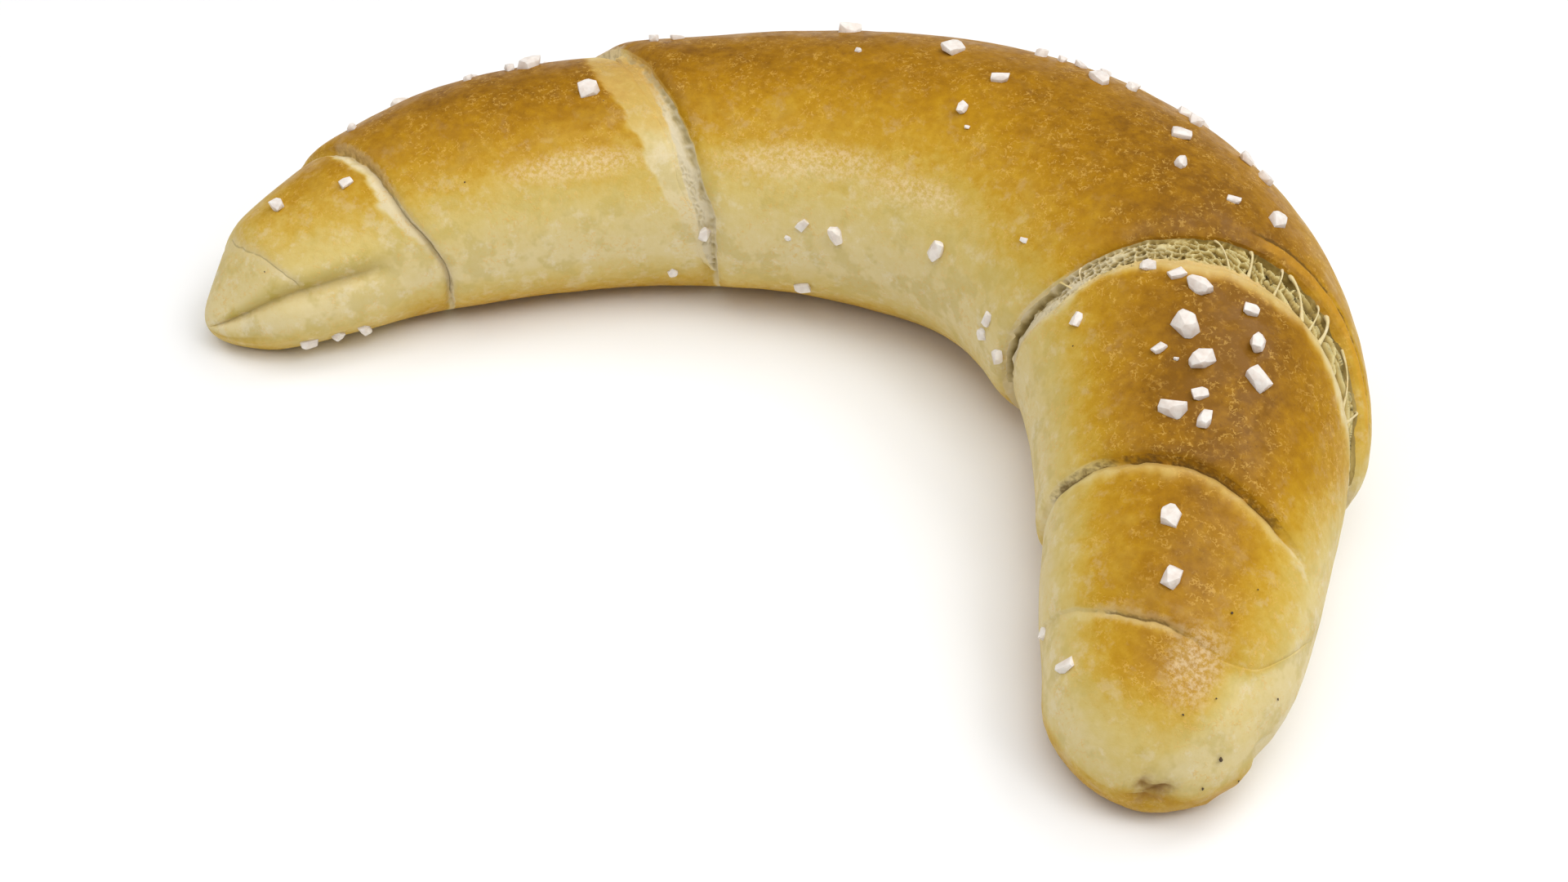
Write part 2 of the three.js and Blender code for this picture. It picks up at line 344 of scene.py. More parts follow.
def section_point(station, angle, lift):
    """The point at a height above the plain section, in millimetres from the left tip."""
    x, y, heading = middle_line(station)
    full = nose_share(station)
    half_width = half_width_at(station)
    height = 2 * half_width * height_share_at(station)
    waist = WAIST * height
    a = np.radians(angle)
    over = np.where(np.sin(a) > 0, height - waist, UNDERCUT * waist)
    side = (half_width * full + lift) * np.cos(a)
    z = np.maximum(waist + (over * full + lift) * np.sin(a), 0)
    return np.stack([x - side * np.sin(heading), y + side * np.cos(heading), z], -1)


trial_stations, trial_angles = np.meshgrid(np.linspace(-TIP, TIP, 1201), np.linspace(0, 360, 361))
trial = section_point(
    trial_stations, trial_angles, relief(trial_stations, trial_angles) * nose_share(trial_stations)
)
trial_low, trial_high = trial.min((0, 1)), trial.max((0, 1))
CENTRE = (trial_low + trial_high) / 2 * (1, 1, 0)
print("the plain form measures", (trial_high - trial_low).round(1), "mm, centred at", CENTRE.round(2))


def crust_point(station, angle, raised=0.0, ragged=0.0):
    """The point of the crust in millimetres in the frame, raised along the section's normal."""
    lift = relief(station, angle, ragged) * nose_share(station) + raised
    return section_point(station, angle, lift) - CENTRE


# %% [markdown]
# ## Working by hand, in code
#
# The pieces are made with the same operators that a hand would use. An operator acts on all that
# is selected, so a helper clears the selection first. Another one runs a step in edit mode.


# %% Selecting and finishing helpers
def deselect_all():
    for thing in bpy.context.selected_objects:
        thing.select_set(False)


def make_active(piece):
    deselect_all()
    piece.select_set(True)
    bpy.context.view_layer.objects.active = piece


def in_edit_mode(piece, *steps):
    """Runs the steps on the whole of a piece's mesh."""
    make_active(piece)
    bpy.ops.object.mode_set(mode="EDIT")
    bpy.ops.mesh.select_all(action="SELECT")
    for step in steps:
        step()
    bpy.ops.object.mode_set(mode="OBJECT")


def apply_modifier(piece, kind, **settings):
    """Adds a modifier with its settings and makes its shape the mesh's own."""
    make_active(piece)
    bpy.ops.object.modifier_add(type=kind)
    modifier = piece.modifiers[-1]
    for name, value in settings.items():
        setattr(modifier, name, value)
    bpy.ops.object.modifier_apply(modifier=modifier.name)


def named(piece, name):
    piece.name = piece.data.name = name
    return piece


def joined(pieces, name):
    """One piece made of several, under a new name."""
    deselect_all()
    for piece in pieces:
        piece.select_set(True)
    bpy.context.view_layer.objects.active = pieces[0]
    bpy.ops.object.join()
    return named(bpy.context.object, name)


def vertex_values(piece, name):
    """The places ("co") or the normals ("normal") of all the vertices, a row each."""
    values = np.empty(len(piece.data.vertices) * 3, np.float32)
    piece.data.vertices.foreach_get(name, values)
    return values.reshape(-1, 3).astype(float)


def move_vertices(piece, places):
    piece.data.vertices.foreach_set("co", places.astype(np.float32).ravel())
    piece.data.update()


def paint(piece, **layers):
    """Keeps numbers for each vertex, which a material can read by their names."""
    for name, values in layers.items():
        layer = piece.data.attributes.new(name, "FLOAT", "POINT")
        layer.data.foreach_set("value", np.asarray(values, np.float32))


def report(piece):
    """Prints how many triangles a piece has."""
    triangles = sum(len(face.vertices) - 2 for face in piece.data.polygons)
    print(piece.name, "has", triangles, "triangles")


# %% [markdown]
# ## Browning
#
# The egg browns where the oven's heat comes from above, so the crown is brown, the sides fade
# through gold and straw to cream, and the edge that touched the tin is lightly browned again. Low on
# the inner side this browning reaches higher than on the outer side, and there it is partly painted
# shade. On the left arm and round the bend the brown leans to the outer side, and on the right arm it
# lies on top. The right bend is darkest and both noses are palest. Browning is a number from 0 to 1
# that the crust's material turns into colour, which is easier to fit to a real roll than colours are.

# %% Where the crust browned
browned_round = curve_through(
    [(-93, 0.1), (-78, 0.24), (-63, 0.37), (-48, 0.52), (-33, 0.72), (-18, 0.85), (0, 0.89)]
    + [(12, 0.84), (27, 0.69), (42, 0.51), (57, 0.3), (72, 0.15), (87, 0.06), (105, 0.02)]
)
crown_angle = curve_through([(-129, 74), (-20, 78), (30, 84), (60, 90), (90, 93), (129, 93)])
browned_along = curve_through(
    [(-129, 0.02), (-123, 0.12), (-117, 0.34), (-108, 0.56), (-99, 0.74), (-90, 0.88), (-75, 1.0)]
    + [(-50, 0.96), (-20, 0.9), (0, 0.88), (20, 0.93), (40, 1.03), (60, 1.1), (75, 1.15)]
    + [(87, 1.03), (95, 0.88), (108, 0.8), (114, 0.7), (119, 0.6), (122, 0.38), (125, 0.2), (129, 0.14)]
)
narrower_inside = curve_through([(30, 1), (60, 1.18), (100, 1.25)])
narrower_outside = curve_through([(78, 1), (90, 1.25), (99, 1.4), (110, 1.35), (117, 1.1), (122, 1)])
PALE_HEEL = dict(left=0.3, reach=1.6, angles=(48, 66))
tin_brown_and_shade = curve_through([(0, 0.5), (4, 0.42), (8, 0.26), (13, 0.09), (20, 0)])  # by height, partly real browning from the tin and partly painted shade
LOW_OUTSIDE = 2.6  # how much lower the tin browning and the painted shade reach on the outer side than on the inner side
PALE_LEFT_TIP = 0.45  # how much less the tin browning and the painted shade reach there
TOASTED = dict(station=(117, 121), angle=(-12, 22), brown=0.42)  # the right nose's rim


def browning(station, angle, height):
    """How brown the egg and the tin made a place, from 0 to 1, were it not covered, with painted shade
    low on the inner side.
    """
    around = folded(angle)
    aside = around - crown_angle(station)
    aside = aside * np.where(aside > 0, narrower_inside(station), narrower_outside(station))
    top = browned_round(aside) * browned_along(station)
    first, last = PALE_HEEL["angles"]
    heel = smoothstep(past_lip(SEAMS["right_nose"], station, angle), 0, PALE_HEEL["reach"])
    heel = heel * (1 - smoothstep(around, first, last))
    top = top * (1 - (1 - PALE_HEEL["left"]) * heel)
    first, last = TOASTED["angle"]
    rim = smoothstep(station, *TOASTED["station"]) * (1 - smoothstep(around, first, last))
    top = np.maximum(top, TOASTED["brown"] * rim)
    # The low browning reaches higher on the inner side and at the right nose, partly as painted shade.
    inside = np.maximum(smoothstep(around, 150, 185), 0.8 * smoothstep(station, 117, 123))
    low = tin_brown_and_shade(height * (LOW_OUTSIDE + (1 - LOW_OUTSIDE) * inside))
    return np.maximum(top, low * (1 - PALE_LEFT_TIP * smoothstep(-station, 92, 106)))


# %% [markdown]
# ## Bands beside the seams
#
# Beyond each lip lies dough that was covered when the egg was brushed on and came out from under the
# wrap as the roll swelled. It stays pale. The bands could be painted on by hand, but then they would
# not follow the ragged lips, so each is told by a few measurements beside its seam instead:
#
# - widths is how wide the band is at a few angles, and pale how much of the browning is missing
# - brown_wall is how far down the step the browning still reaches, and soft how softly the band ends
# - gilded is a stretch that the egg partly reached, from angle to angle, and how much of it
# - shows is the stretch where the lip's crack is open enough to look dark, crack is its width and
#   darkness, and raw is how much torn dough shows at the lip

# %% The pale bands
BANDS = {
    "left_nose": dict(
        widths=[(0, 1), (60, 2), (90, 3), (140, 4), (180, 2)],
        pale=0.3, shows=(60, 140), crack=(0.13, 0.35),
    ),
    "left_tip": dict(
        widths=[(0, 1), (50, 2), (90, 2.6), (135, 3.2), (190, 1.2)],
        pale=0.95, brown_wall=0.3, shows=(66, 192), crack=(0.17, 0.55), raw=0.25,
    ),
    "left_bend": dict(
        widths=[(0, 2), (45, 5), (76, 8.5), (99, 9.3), (133, 9.3), (159, 7.6), (174, 6), (200, 1.5)],
        pale=0.75, gilded=(72, 112, 0.38), shows=(0, 52), crack=(0.4, 0.6),
    ),
    "right_bend": dict(
        widths=[(0, 3), (18, 6), (35, 10), (60, 9), (90, 8), (123, 6), (145, 7.4), (190, 3)],
        pale=0.8, gilded=(58, 125, 0.2), brown_wall=0.7, soft=2.8, shows=(-20, -4), crack=(0.3, 0.5),
    ),
    "right_tip": dict(
        widths=[(8, 1), (40, 2.6), (60, 4.2), (90, 4), (135, 4), (180, 1.5)],
        pale=0.5, brown_wall=0.4, soft=2.6, shows=(58, 160), crack=(0.24, 1), raw=0,
    ),
    "right_nose": dict(
        widths=[(60, 0.3), (84, 1), (110, 1.5), (140, 2.2), (170, 1)],
        pale=0.4, soft=1.2, brown_wall=0.2, shows=(88, 124), crack=(0.2, 0.9), raw=0.2,
    ),
}
BAND_EDGE = 0.9  # how softly a band ends, where it has no soft of its own
RAW_LIP = 0.6  # how much torn dough shows at a lip that has no raw of its own
FARTHEST = 6  # a lip farther away than this doesn't matter
CRACK_FADES = (3, 5)  # a crack's darkness fades between these distances from its lip
LOOSE_SKIN = dict(
    before=2.3, angles=(20, 66), groove=0.4, groove_width=0.3, strand=0.16, strand_width=0.6
)
for name, band in BANDS.items():
    SEAMS[name].update(band, width_at=curve_through(band["widths"]))


def bareness(station, angle):
    """How much of the browning is missing at a place, from all the bands."""
    bare = np.zeros(np.broadcast(station, angle).shape)
    for seam in SEAMS.values():
        d = past_lip(seam, station, angle)
        edge = seam["width_at"](folded(angle))
        around = np.radians(folded(angle))[..., None] * half_width_at(seam["lip_at"](90))
        wave = 0.5 * lumps(around, 3.4, seam["seed"] + 5) + 0.35 * lumps(around, 1.1, seam["seed"] + 6)
        wall = seam.get("brown_wall", 0.05) * (1 - smoothstep(folded(angle), 110, 140))
        fades = 1 - smoothstep(d - wave, edge - seam.get("soft", BAND_EDGE), edge)
        first, last, browned = seam.get("gilded", (0, 180, 0))
        fades = fades * (1 - browned * within(folded(angle), first, last, 20))
        inside = smoothstep(d, wall - 0.3, wall) * fades
        bare = np.maximum(bare, seam["pale"] * inside)
    return bare


PAINTED_HIGHLIGHT_PATCHES = [  # station, angle and how far each way, for patches where a highlight is painted as pale flecks
    (116.5, 73, 5, 15),
    (-64, 131, 13, 7),
    (-22, 135, 17, 7),
    (2, 141, 12, 6),
]


def blistered(station, angle):
    """1 inside a patch where a highlight is painted, and 0 outside."""
    total = np.zeros(np.broadcast(station, angle).shape)
    for middle, turn, along, round_by in PAINTED_HIGHLIGHT_PATCHES:
        away = ((station - middle) / along) ** 2 + ((folded(angle) - turn) / round_by) ** 2
        total = np.maximum(total, bell(away))
    return total


def nearest_lip(station, angle):
    """How far past the nearest lip a place lies, its crack's width and darkness, and its rawness."""
    past = np.full(np.broadcast(station, angle).shape, float(FARTHEST))
    gap, dark, raw = np.ones(past.shape), np.zeros(past.shape), np.zeros(past.shape)
    for seam in SEAMS.values():
        d = past_lip(seam, station, angle)
        nearer = np.abs(d) < np.abs(past)
        width, darkness = seam["crack"]
        shown = darkness * within(folded(angle), *seam["shows"], 8)
        shown = shown * (1 - smoothstep(np.abs(d), *CRACK_FADES))
        past, gap = np.where(nearer, d, past), np.where(nearer, width, gap)
        dark, raw = np.where(nearer, shown, dark), np.where(nearer, seam.get("raw", RAW_LIP), raw)
    return past, gap, dark, raw


def loose_skin(station, angle):
    """How far a place lies past the groove behind a strand of skin that tore loose, and 1 near it."""
    d = past_lip(SEAMS["right_bend"], station, angle) + LOOSE_SKIN["before"]
    return d, within(folded(angle), *LOOSE_SKIN["angles"], 8)


# %% [markdown]
# ## The torn crumb's place
#
# In the two seams at the bend the dough tore open and its crumb shows, in a strip that hangs between
# the lip and the next wrap. The strips are pieces of their own, because crumb needs a much finer mesh
# than the crust. So the crust dips under them. A torn seam is told by its span, from angle to angle,
# and by values that may change round the roll, as a list, or stay the same, as one number:
#
# - strip is its width, hang how low it hangs and sunk how far it ends below the next wrap, and one
#   more value tells how dark the shade painted under the lip is
# - bubbles is their size, pits their depth, pitted the share of them that burst open and walls the
#   thickness between them
# - fibres is the height of the drawn dough, and slit, slit_width and patchy tell how deep, how wide
#   and how broken the slit beside the lip is
# - crumbly is how much of the strip is bare crumb and not browned skin

# %% The torn strips' measurements
TORN = {
    "left_bend": dict(
        span=(48, 204),
        strip=[(48, 1.2), (80, 3), (105, 3.6), (135, 4.4), (165, 4.6), (188, 3), (204, 1)],
        bubbles=0.8,
        pits=0.2,
        pitted=[(48, 0.4), (80, 0.3), (110, 0.2), (140, 0.3), (204, 0.3)],
        walls=0.4,
        fibres=[(48, 0.08), (204, 0.06)],
        slit=[(48, 0.3), (75, 0.5), (160, 0.5), (188, 0.6), (204, 0.3)],
        hang=-0.1,
        foot=0,
        crumbly=[(48, 0.15), (90, 0.25), (125, 0.8), (204, 0.8)],
        patchy=0.7,
        slit_width=0.7,
        sunk=0.06,
    ),
    "right_bend": dict(
        span=(-4, 202),
        strip=[(-4, 1.2), (18, 3.6), (35, 6.6), (60, 6), (90, 4.7), (123, 3.8), (150, 5), (202, 1.2)],
        bubbles=[(0, 2.2), (30, 3.2), (55, 2.8), (72, 1.5), (90, 0.9), (120, 0.8), (202, 0.8)],
        pits=[(0, 1), (20, 1.3), (58, 1.3), (75, 1), (105, 0.8), (130, 0.6), (150, 0.3), (202, 0.2)],
        pitted=[(0, 1), (60, 1), (80, 0.8), (110, 0.7), (135, 0.6), (160, 0.2), (202, 0.1)],
        walls=[(0, 0.07), (62, 0.09), (85, 0.28), (202, 0.4)],
        fibres=[(0, 0.05), (70, 0.07), (105, 0.14), (140, 0.18), (160, 0.06), (202, 0.05)],
        slit=[(0, 0.8), (30, 1.1), (62, 0.7), (75, 0.3), (125, 0.3), (142, 0.9), (172, 1.4), (202, 0.4)],
        hang=[(-4, 0.1), (30, -0.4), (60, -0.5), (95, -0.7), (125, -0.5), (145, 0.4), (202, 0.4)],
        foot=[(-4, 0.5), (70, 0.8), (110, 0.5), (140, 0), (202, 0)],
        crumbly=1,
        patchy=0.25,
        slit_width=0.5,
        sunk=0.3,
    ),
}
TRENCH = 1.9  # how much deeper the crust dips under a strip
TRENCH_RISE = 1.9  # over how much of the strip's width it comes up again


def curve_or_level(value):
    """A curve through a list of pairs, or a level line for a single number."""
    return curve_through(value if isinstance(value, list) else [(0, value), (1, value)])


for name, torn in TORN.items():
    SEAMS[name]["span"] = torn.pop("span")
    SEAMS[name]["torn"] = {key: curve_or_level(value) for key, value in torn.items()}

# %% [markdown]
# ## What the solid leaves out
#
# A real crust has rounder and rougher lips than a solid of few faces can have, wraps that end in a
# soft step, a hole and some wrinkles in the blunt nose and a deep crease in the slender one. They could
# be bump in the material, but they show in the outline and cast shadows, so they are real heights
# here, added to the relief above.

# %% What the solid leaves out
ROUNDED = 0.25  # how much rounder a lip is, as a share of its step
SOFT_STEPS = {"left_nose": (150, 190, 0.6), "right_nose": (58, 84, 1.0)}  # until where, and how soft
SOFT_WIDTH = 2.6
STRIP_TAPER = 6  # over how many degrees a torn strip narrows to nothing
ROUGH_LIP = dict(height=0.08, size=1.1, reach=1.4)
NOTCH = dict(station=117.5, angle=4, depth=1.1, along=1.1, round=16)
NOSE_HOLE = dict(station=128.5, angle=20, depth=2.0, reach=2.9)
DIMPLE_FILLED = 0.7  # the solid's dimple is broad, so it is part filled and the hole cut beside it
WRINKLES = dict(size=2.6, height=0.5, start=119, low=75, fade=30)
CREASE = dict(depth=1.0, width=3.6, over=0.7, above=9)  # the tuck's, deeper than in the solid
SHADE_ABOVE, SHADE_WIDTH = 7, 8  # where olive shade is painted above the crease, in degrees
TIP_WRINKLE = dict(angle=178, depth=0.7, width=5, station=-121)


def strip_width(seam, around):
    """The width of a seam's torn strip, 0 where it has none."""
    if "torn" not in seam:
        return np.zeros(np.shape(around))
    first, last = seam["span"]
    return seam["torn"]["strip"](around) * within(
        around, first + STRIP_TAPER, last - STRIP_TAPER, STRIP_TAPER
    )


def lip_relief(seam, station, angle):
    """A rounder and rougher lip, and the dip under the torn strip."""
    around = folded(angle)
    d = past_lip(seam, station, angle)
    rounder = -ROUNDED * seam["drop"] * np.exp(np.minimum(d, 0) * 3 / seam["gape"])
    width = strip_width(seam, around)
    rise = smoothstep(d, width - TRENCH_RISE, width)
    dip = -TRENCH * smoothstep(d, -0.3, 0.1) * (1 - rise) * smoothstep(width, 0.5, 1.2)
    places = section_point(station, angle, 0.0)
    near = bell(d / ROUGH_LIP["reach"]) * (width == 0)
    rough = ROUGH_LIP["height"] * near * lumps(places, ROUGH_LIP["size"], seam["seed"] + 8)
    return openness(seam, angle) * (np.where(d < 0, rounder, dip) + rough)


def softer_steps(station, angle):
    """Where a wrap's end is only a soft step, what to add to the sharp one."""
    total = 0
    for name, (full, none, share) in SOFT_STEPS.items():
        seam = SEAMS[name]
        d = past_lip(seam, station, angle)
        softness = share * (1 - smoothstep(folded(angle), full, none)) * openness(seam, angle)
        step = seam["drop"] * (0.5 - smoothstep(d, -SOFT_WIDTH, SOFT_WIDTH))
        step = step * np.exp(-np.abs(d) / SEAM_FADE)
        total = total + softness * (step - step_relief(seam, d))
    return total


def spot(places, spot_at):
    """1 at a small spot on the crust, fading round it."""
    middle = section_point(spot_at["station"], spot_at["angle"], 0.0) - CENTRE
    return bell(np.linalg.norm(places - middle, axis=-1) / spot_at["reach"])


def skin_relief(station, angle):
    """The strand of loose skin beside the right bend's lip, and the groove behind it."""
    d, shown = loose_skin(station, angle)
    uneven = 0.7 + 0.5 * lumps(np.radians(folded(angle))[..., None] * 20, 3.5, 91)
    groove = LOOSE_SKIN["groove"] * bell(d / LOOSE_SKIN["groove_width"])
    width = LOOSE_SKIN["strand_width"]
    strand = LOOSE_SKIN["strand"] * bell((d - 1.6 * width) / width)
    return shown * uneven * (strand - groove)


def crease_shade(station, angle):
    """1 just above the crease, where olive shade is painted."""
    below = below_crease(station, folded(angle))
    shade = bell((below + SHADE_ABOVE) / SHADE_WIDTH)
    return shade * within(station, TUCK["start"] + 3, TUCK["end"] - 4, 7)


def left_tip_creases(station, angle):
    """The tuck's crease, cut deep under an overhanging edge, and a wrinkle under the very tip."""
    below = below_crease(station, folded(angle))
    cut = -CREASE["depth"] * bell(below / CREASE["width"])
    edge = CREASE["over"] * bell((below + CREASE["above"]) / CREASE["above"])
    shown = within(station, TUCK["start"] + 1, TUCK["end"] - 6, 6)
    wrinkle = (folded(angle) - TIP_WRINKLE["angle"]) / TIP_WRINKLE["width"]
    low = 1 - smoothstep(station, TIP_WRINKLE["station"] - 3, TIP_WRINKLE["station"] + 3)
    return (cut + edge) * shown - TIP_WRINKLE["depth"] * bell(wrinkle) * low


def fine_relief(station, angle):
    """Rougher and softer lips, the dips under the torn strips, and the creases of the noses."""
    around = folded(angle)
    total = sum(lip_relief(seam, station, angle) for seam in SEAMS.values())
    notch = -NOTCH["depth"] * oval(station, around, NOTCH)
    places = section_point(station, angle, 0.0)
    low = smoothstep(station, WRINKLES["start"], WRINKLES["start"] + 5)
    until, fade = WRINKLES["low"], WRINKLES["fade"]
    low = low * (1 - smoothstep(around, until - fade, until + fade))
    wrinkles = WRINKLES["height"] * low * lumps(places, WRINKLES["size"], 71)
    skin = skin_relief(station, angle) + softer_steps(station, angle)
    filled = -DIMPLE_FILLED * dimple_relief(station, around)
    return total + notch + wrinkles + skin + filled + left_tip_creases(station, angle)


# %% [markdown]
# ## The crust
#
# The crust is one closed skin from tip to tip. A subdivided cage would round off the lips, which are
# only a few tenths of a millimetre across, and sculpting would not come out the same twice. So the
# skin is a sphere laid out along the roll: its poles are the tips, its rows become rings that bend
# with the seams and lie close together beside them, and its columns run along the roll. Each vertex
# is then put on the crust by the function above, with soft lumps added.

# %% The rings and the columns
COLUMNS_OVER = 236  # from foot to foot over the crown
COLUMNS_UNDER = 50
COLUMNS = COLUMNS_OVER + COLUMNS_UNDER
RING_STEP = 1.15
BEFORE_LIP = (5, 3.6, 2.5, 1.7, 1.1, 0.7, 0.42, 0.22, 0.09, 0.02)
PAST_LIP = (0.1, 0.22, 0.38, 0.56, 0.78, 1.05, 1.4, 1.8, 2.3, 2.9)
LOOSE_BAND = (3.1, 2.85, 2.65, 2.3, 2.1, 1.9, 1.4)
WIDE_BAND = (3.5, 4.1, 4.7, 5.3, 5.9, 6.5, 7.1, 7.7, 8.3, 8.9, 9.5)
NOSE_RINGS = (0, 0.01, 0.03, 0.06, 0.1, 0.15, 0.21, 0.28, 0.36, 0.45, 0.54, 0.64, 0.75, 0.87)


def column_angle(column):
    """Columns are even over the crown and wider across the flat base."""
    over = -FOOT_ANGLE + (180 + 2 * FOOT_ANGLE) * column / COLUMNS_OVER
    under = 180 + FOOT_ANGLE + (180 - 2 * FOOT_ANGLE) * (column - COLUMNS_OVER) / COLUMNS_UNDER
    return np.where(column <= COLUMNS_OVER, over, under) % 360


def all_rings():
    """Each ring's station at every column, in order from the left tip."""
    angles = column_angle(np.arange(COLUMNS))
    crown = COLUMNS_OVER // 2
    rings = []
    for seam in SEAMS.values():
        before, beyond = BEFORE_LIP, PAST_LIP
        if "torn" in seam:
            before, beyond = before + LOOSE_BAND, beyond + WIDE_BAND
        offsets = sorted(seam["side"] * d for d in (*np.negative(before), *beyond))
        beside = [lip_station(seam, folded(angles)) + d for d in offsets]
        if rings:
            last = rings[-1]
            steps = max(2, round((beside[0] - last)[crown] / RING_STEP))
            shares = np.arange(1, steps) / steps
        else:
            last, shares = np.full(COLUMNS, -TIP), NOSE_RINGS
        rings += [last * (1 - share) + beside[0] * share for share in shares]
        rings += beside
    rings += [TIP * (1 - share) + rings[-1] * share for share in reversed(NOSE_RINGS)]
    return np.sort(rings, axis=0)  # where two seams meet, their rings would cross


# %% The crust's skin
LUMPS = ((22, 0.3), (8, 0.14), (3.2, 0.05))  # how wide and how high the dough's own lumps are


def dough_lumps(station, angle):
    places = section_point(station, angle, 0.0)
    return sum(height * lumps(places, size, 31 + i) for i, (size, height) in enumerate(LUMPS))


def paint_browning(piece, station, angle, places):
    bare = bareness(station, angle)
    paint(piece, browning=browning(station, angle, places[:, 2]) * (1 - bare), bare=bare)


def make_crust():
    rings = all_rings()
    deselect_all()
    bpy.ops.mesh.primitive_uv_sphere_add(segments=COLUMNS, ring_count=len(rings) - 1, radius=1)
    crust = named(bpy.context.object, "crust")
    x, y, z = vertex_values(crust, "co").T
    row = np.rint(np.arccos(np.clip(z, -1, 1)) / math.pi * (len(rings) - 1)).astype(int)
    column = np.rint(np.arctan2(y, x) / (2 * math.pi) * COLUMNS).astype(int) % COLUMNS
    angle = column_angle(column)
    station = np.clip(rings[row, column], -TIP, TIP)
    raised = (dough_lumps(station, angle) + fine_relief(station, angle)) * nose_share(station)
    places = crust_point(station, angle, raised, 1.0)
    move_vertices(crust, places * MM)
    in_edit_mode(crust, lambda: bpy.ops.mesh.normals_make_consistent(inside=False))
    hole = spot(places, NOSE_HOLE) * (0.85 + 0.6 * lumps(places, 1.6, 73))
    inwards = vertex_values(crust, "normal") * NOSE_HOLE["depth"] * hole[:, None]
    move_vertices(crust, (places - inwards) * MM)
    bpy.ops.object.shade_smooth()
    paint_browning(crust, station, angle, places)
    past, gap, dark, raw = nearest_lip(station, angle)
    loose, torn = loose_skin(station, angle)
    # The hole's mask also paints brown shade into the hole.
    paint(crust, past=past, gap=gap, dark=dark, raw=raw, loose=loose, torn=torn, burnt=hole)
    paint(crust, blistered=blistered(station, angle), creased=crease_shade(station, angle))
    return crust


crust = make_crust()
report(crust)
crust_places = vertex_values(crust, "co")
print("low and high corners", crust_places.min(0).round(4), crust_places.max(0).round(4))

# %% [markdown]
# ## The torn crumb
#
# Torn crumb is foam: walls of dough between bubbles that broke open. It could be left to a bump, but
# the bubbles are millimetres deep and their far walls hide what lies behind them, so they are real
# here. Each strip is a fine grid laid along its seam. It starts just under the lip, hangs in a hollow
# curve, and comes up at the next wrap. The walls between scattered points become the foam's walls,
# the bubbles are wide where the dough was stretched, and beside the lip a slit stays open. Solidify
# gives the strip its thickness and closes it underneath.

# %% A strip of torn crumb
STRIP_STEP = 0.17
STRIP_THICKNESS = 1.4
STRIP_TUCKED = 0.5  # how far it starts under the lip
STRIP_FALLS = (-0.2, 1.5)  # where it falls from the lip to its lowest
ENDS_FADE, ENDS_SUNK = 8, 2.5  # over how many degrees its ends sink into the crust, and how deep
ELONGATED = 1.7  # how much longer a bubble is along the seam than across
FIBRES = dict(along=3.4, across=0.55)
SLIT_PLACE = 0.6  # where the slit lies past the lip


def round_seam(seam, angle):
    """The way round the roll beside a seam, in millimetres."""
    return np.radians(angle) * half_width_at(seam["lip_at"](angle))


def bubble_place(seam, angle):
    """The distance along a seam counted in bubbles, so that they can change size on the way."""
    first, last = seam["span"]
    angles = np.linspace(first, last, 400)
    steps = np.radians(angles[1] - angles[0]) * half_width_at(seam["lip_at"](angles))
    counted = np.cumsum(steps / seam["torn"]["bubbles"](angles)) / ELONGATED
    return np.interp(angle, angles, counted)


def strip_height(seam, angle, d, width):
    """The hanging curve of a strip, as a height above the plain section."""
    lip = (0.15 - ROUNDED) * seam["drop"] - 0.3
    bottom = -seam["drop"] / 2 - seam["torn"]["hang"](angle)
    rim = step_relief(seam, width) - seam["torn"]["sunk"](angle)
    hanging = lip + (bottom - lip) * smoothstep(d, *STRIP_FALLS)
    return hanging + (rim - bottom) * smoothstep(d, STRIP_FALLS[1], width)


def pit_pattern(seam, angle, d, width):
    """How hollow the crumb is, from 0 on a wall to 1 in a burst bubble, and how fibrous."""
    torn = seam["torn"]
    place = bubble_place(seam, angle)
    cells = np.stack([place, d / torn["bubbles"](angle)], -1)
    warped = cells + 0.35 * np.stack([lumps(cells, 0.8, 5), lumps(cells, 0.8, 6)], -1)
    missing = 1 - torn["pitted"](angle)
    kept = smoothstep(lumps(cells, 1.7, seam["seed"] + 50), missing * 1.6 - 1.1, missing * 1.6 - 0.7)
    wall = 0.04 + torn["walls"](angle)
    large = smoothstep(bubble_walls(warped, seam["seed"] + 20), 0.04, wall) * kept
    small = smoothstep(bubble_walls(warped * 2.3, seam["seed"] + 30), 0.15, 0.6)
    small = small * smoothstep(lumps(cells, 1.1, seam["seed"] + 60), 0, 0.5)
    inside = within(d, 0.5, width - 1.3, 0.6)
    around = round_seam(seam, angle)
    drawn = np.stack([around / FIBRES["along"] + d / 5, d / FIBRES["across"]], -1)
    fibres = 1 - np.minimum(np.abs(lumps(drawn, 1, seam["seed"] + 70)) * 3, 1)
    return np.maximum(large, 0.45 * small) * inside, fibres


def slit_depth(seam, angle, d):
    """The ragged slit that stays open beside the lip."""
    torn = seam["torn"]
    around = round_seam(seam, angle)
    middle = SLIT_PLACE + 0.3 * lumps(around[..., None], 1.6, seam["seed"] + 80)
    reach = torn["slit_width"](angle) * (1 + 0.4 * lumps(around[..., None], 2.5, seam["seed"] + 81))
    uneven = lumps(np.stack([around, d], -1), 0.8, seam["seed"] + 82)
    patchy = 1 - torn["patchy"](angle) * (0.3 - uneven)
    return torn["slit"](angle) * np.clip(patchy, 0.1, 1.2) * bell((d - middle) / reach)


def crust_seat(station, angle):
    """The point of the solid's crust at a place, and the way out of it."""
    here, out = (crust_point(np.array(station), np.array(angle), raised) for raised in (0.0, 1.0))
    return Vector(here), Vector(out - here).normalized()


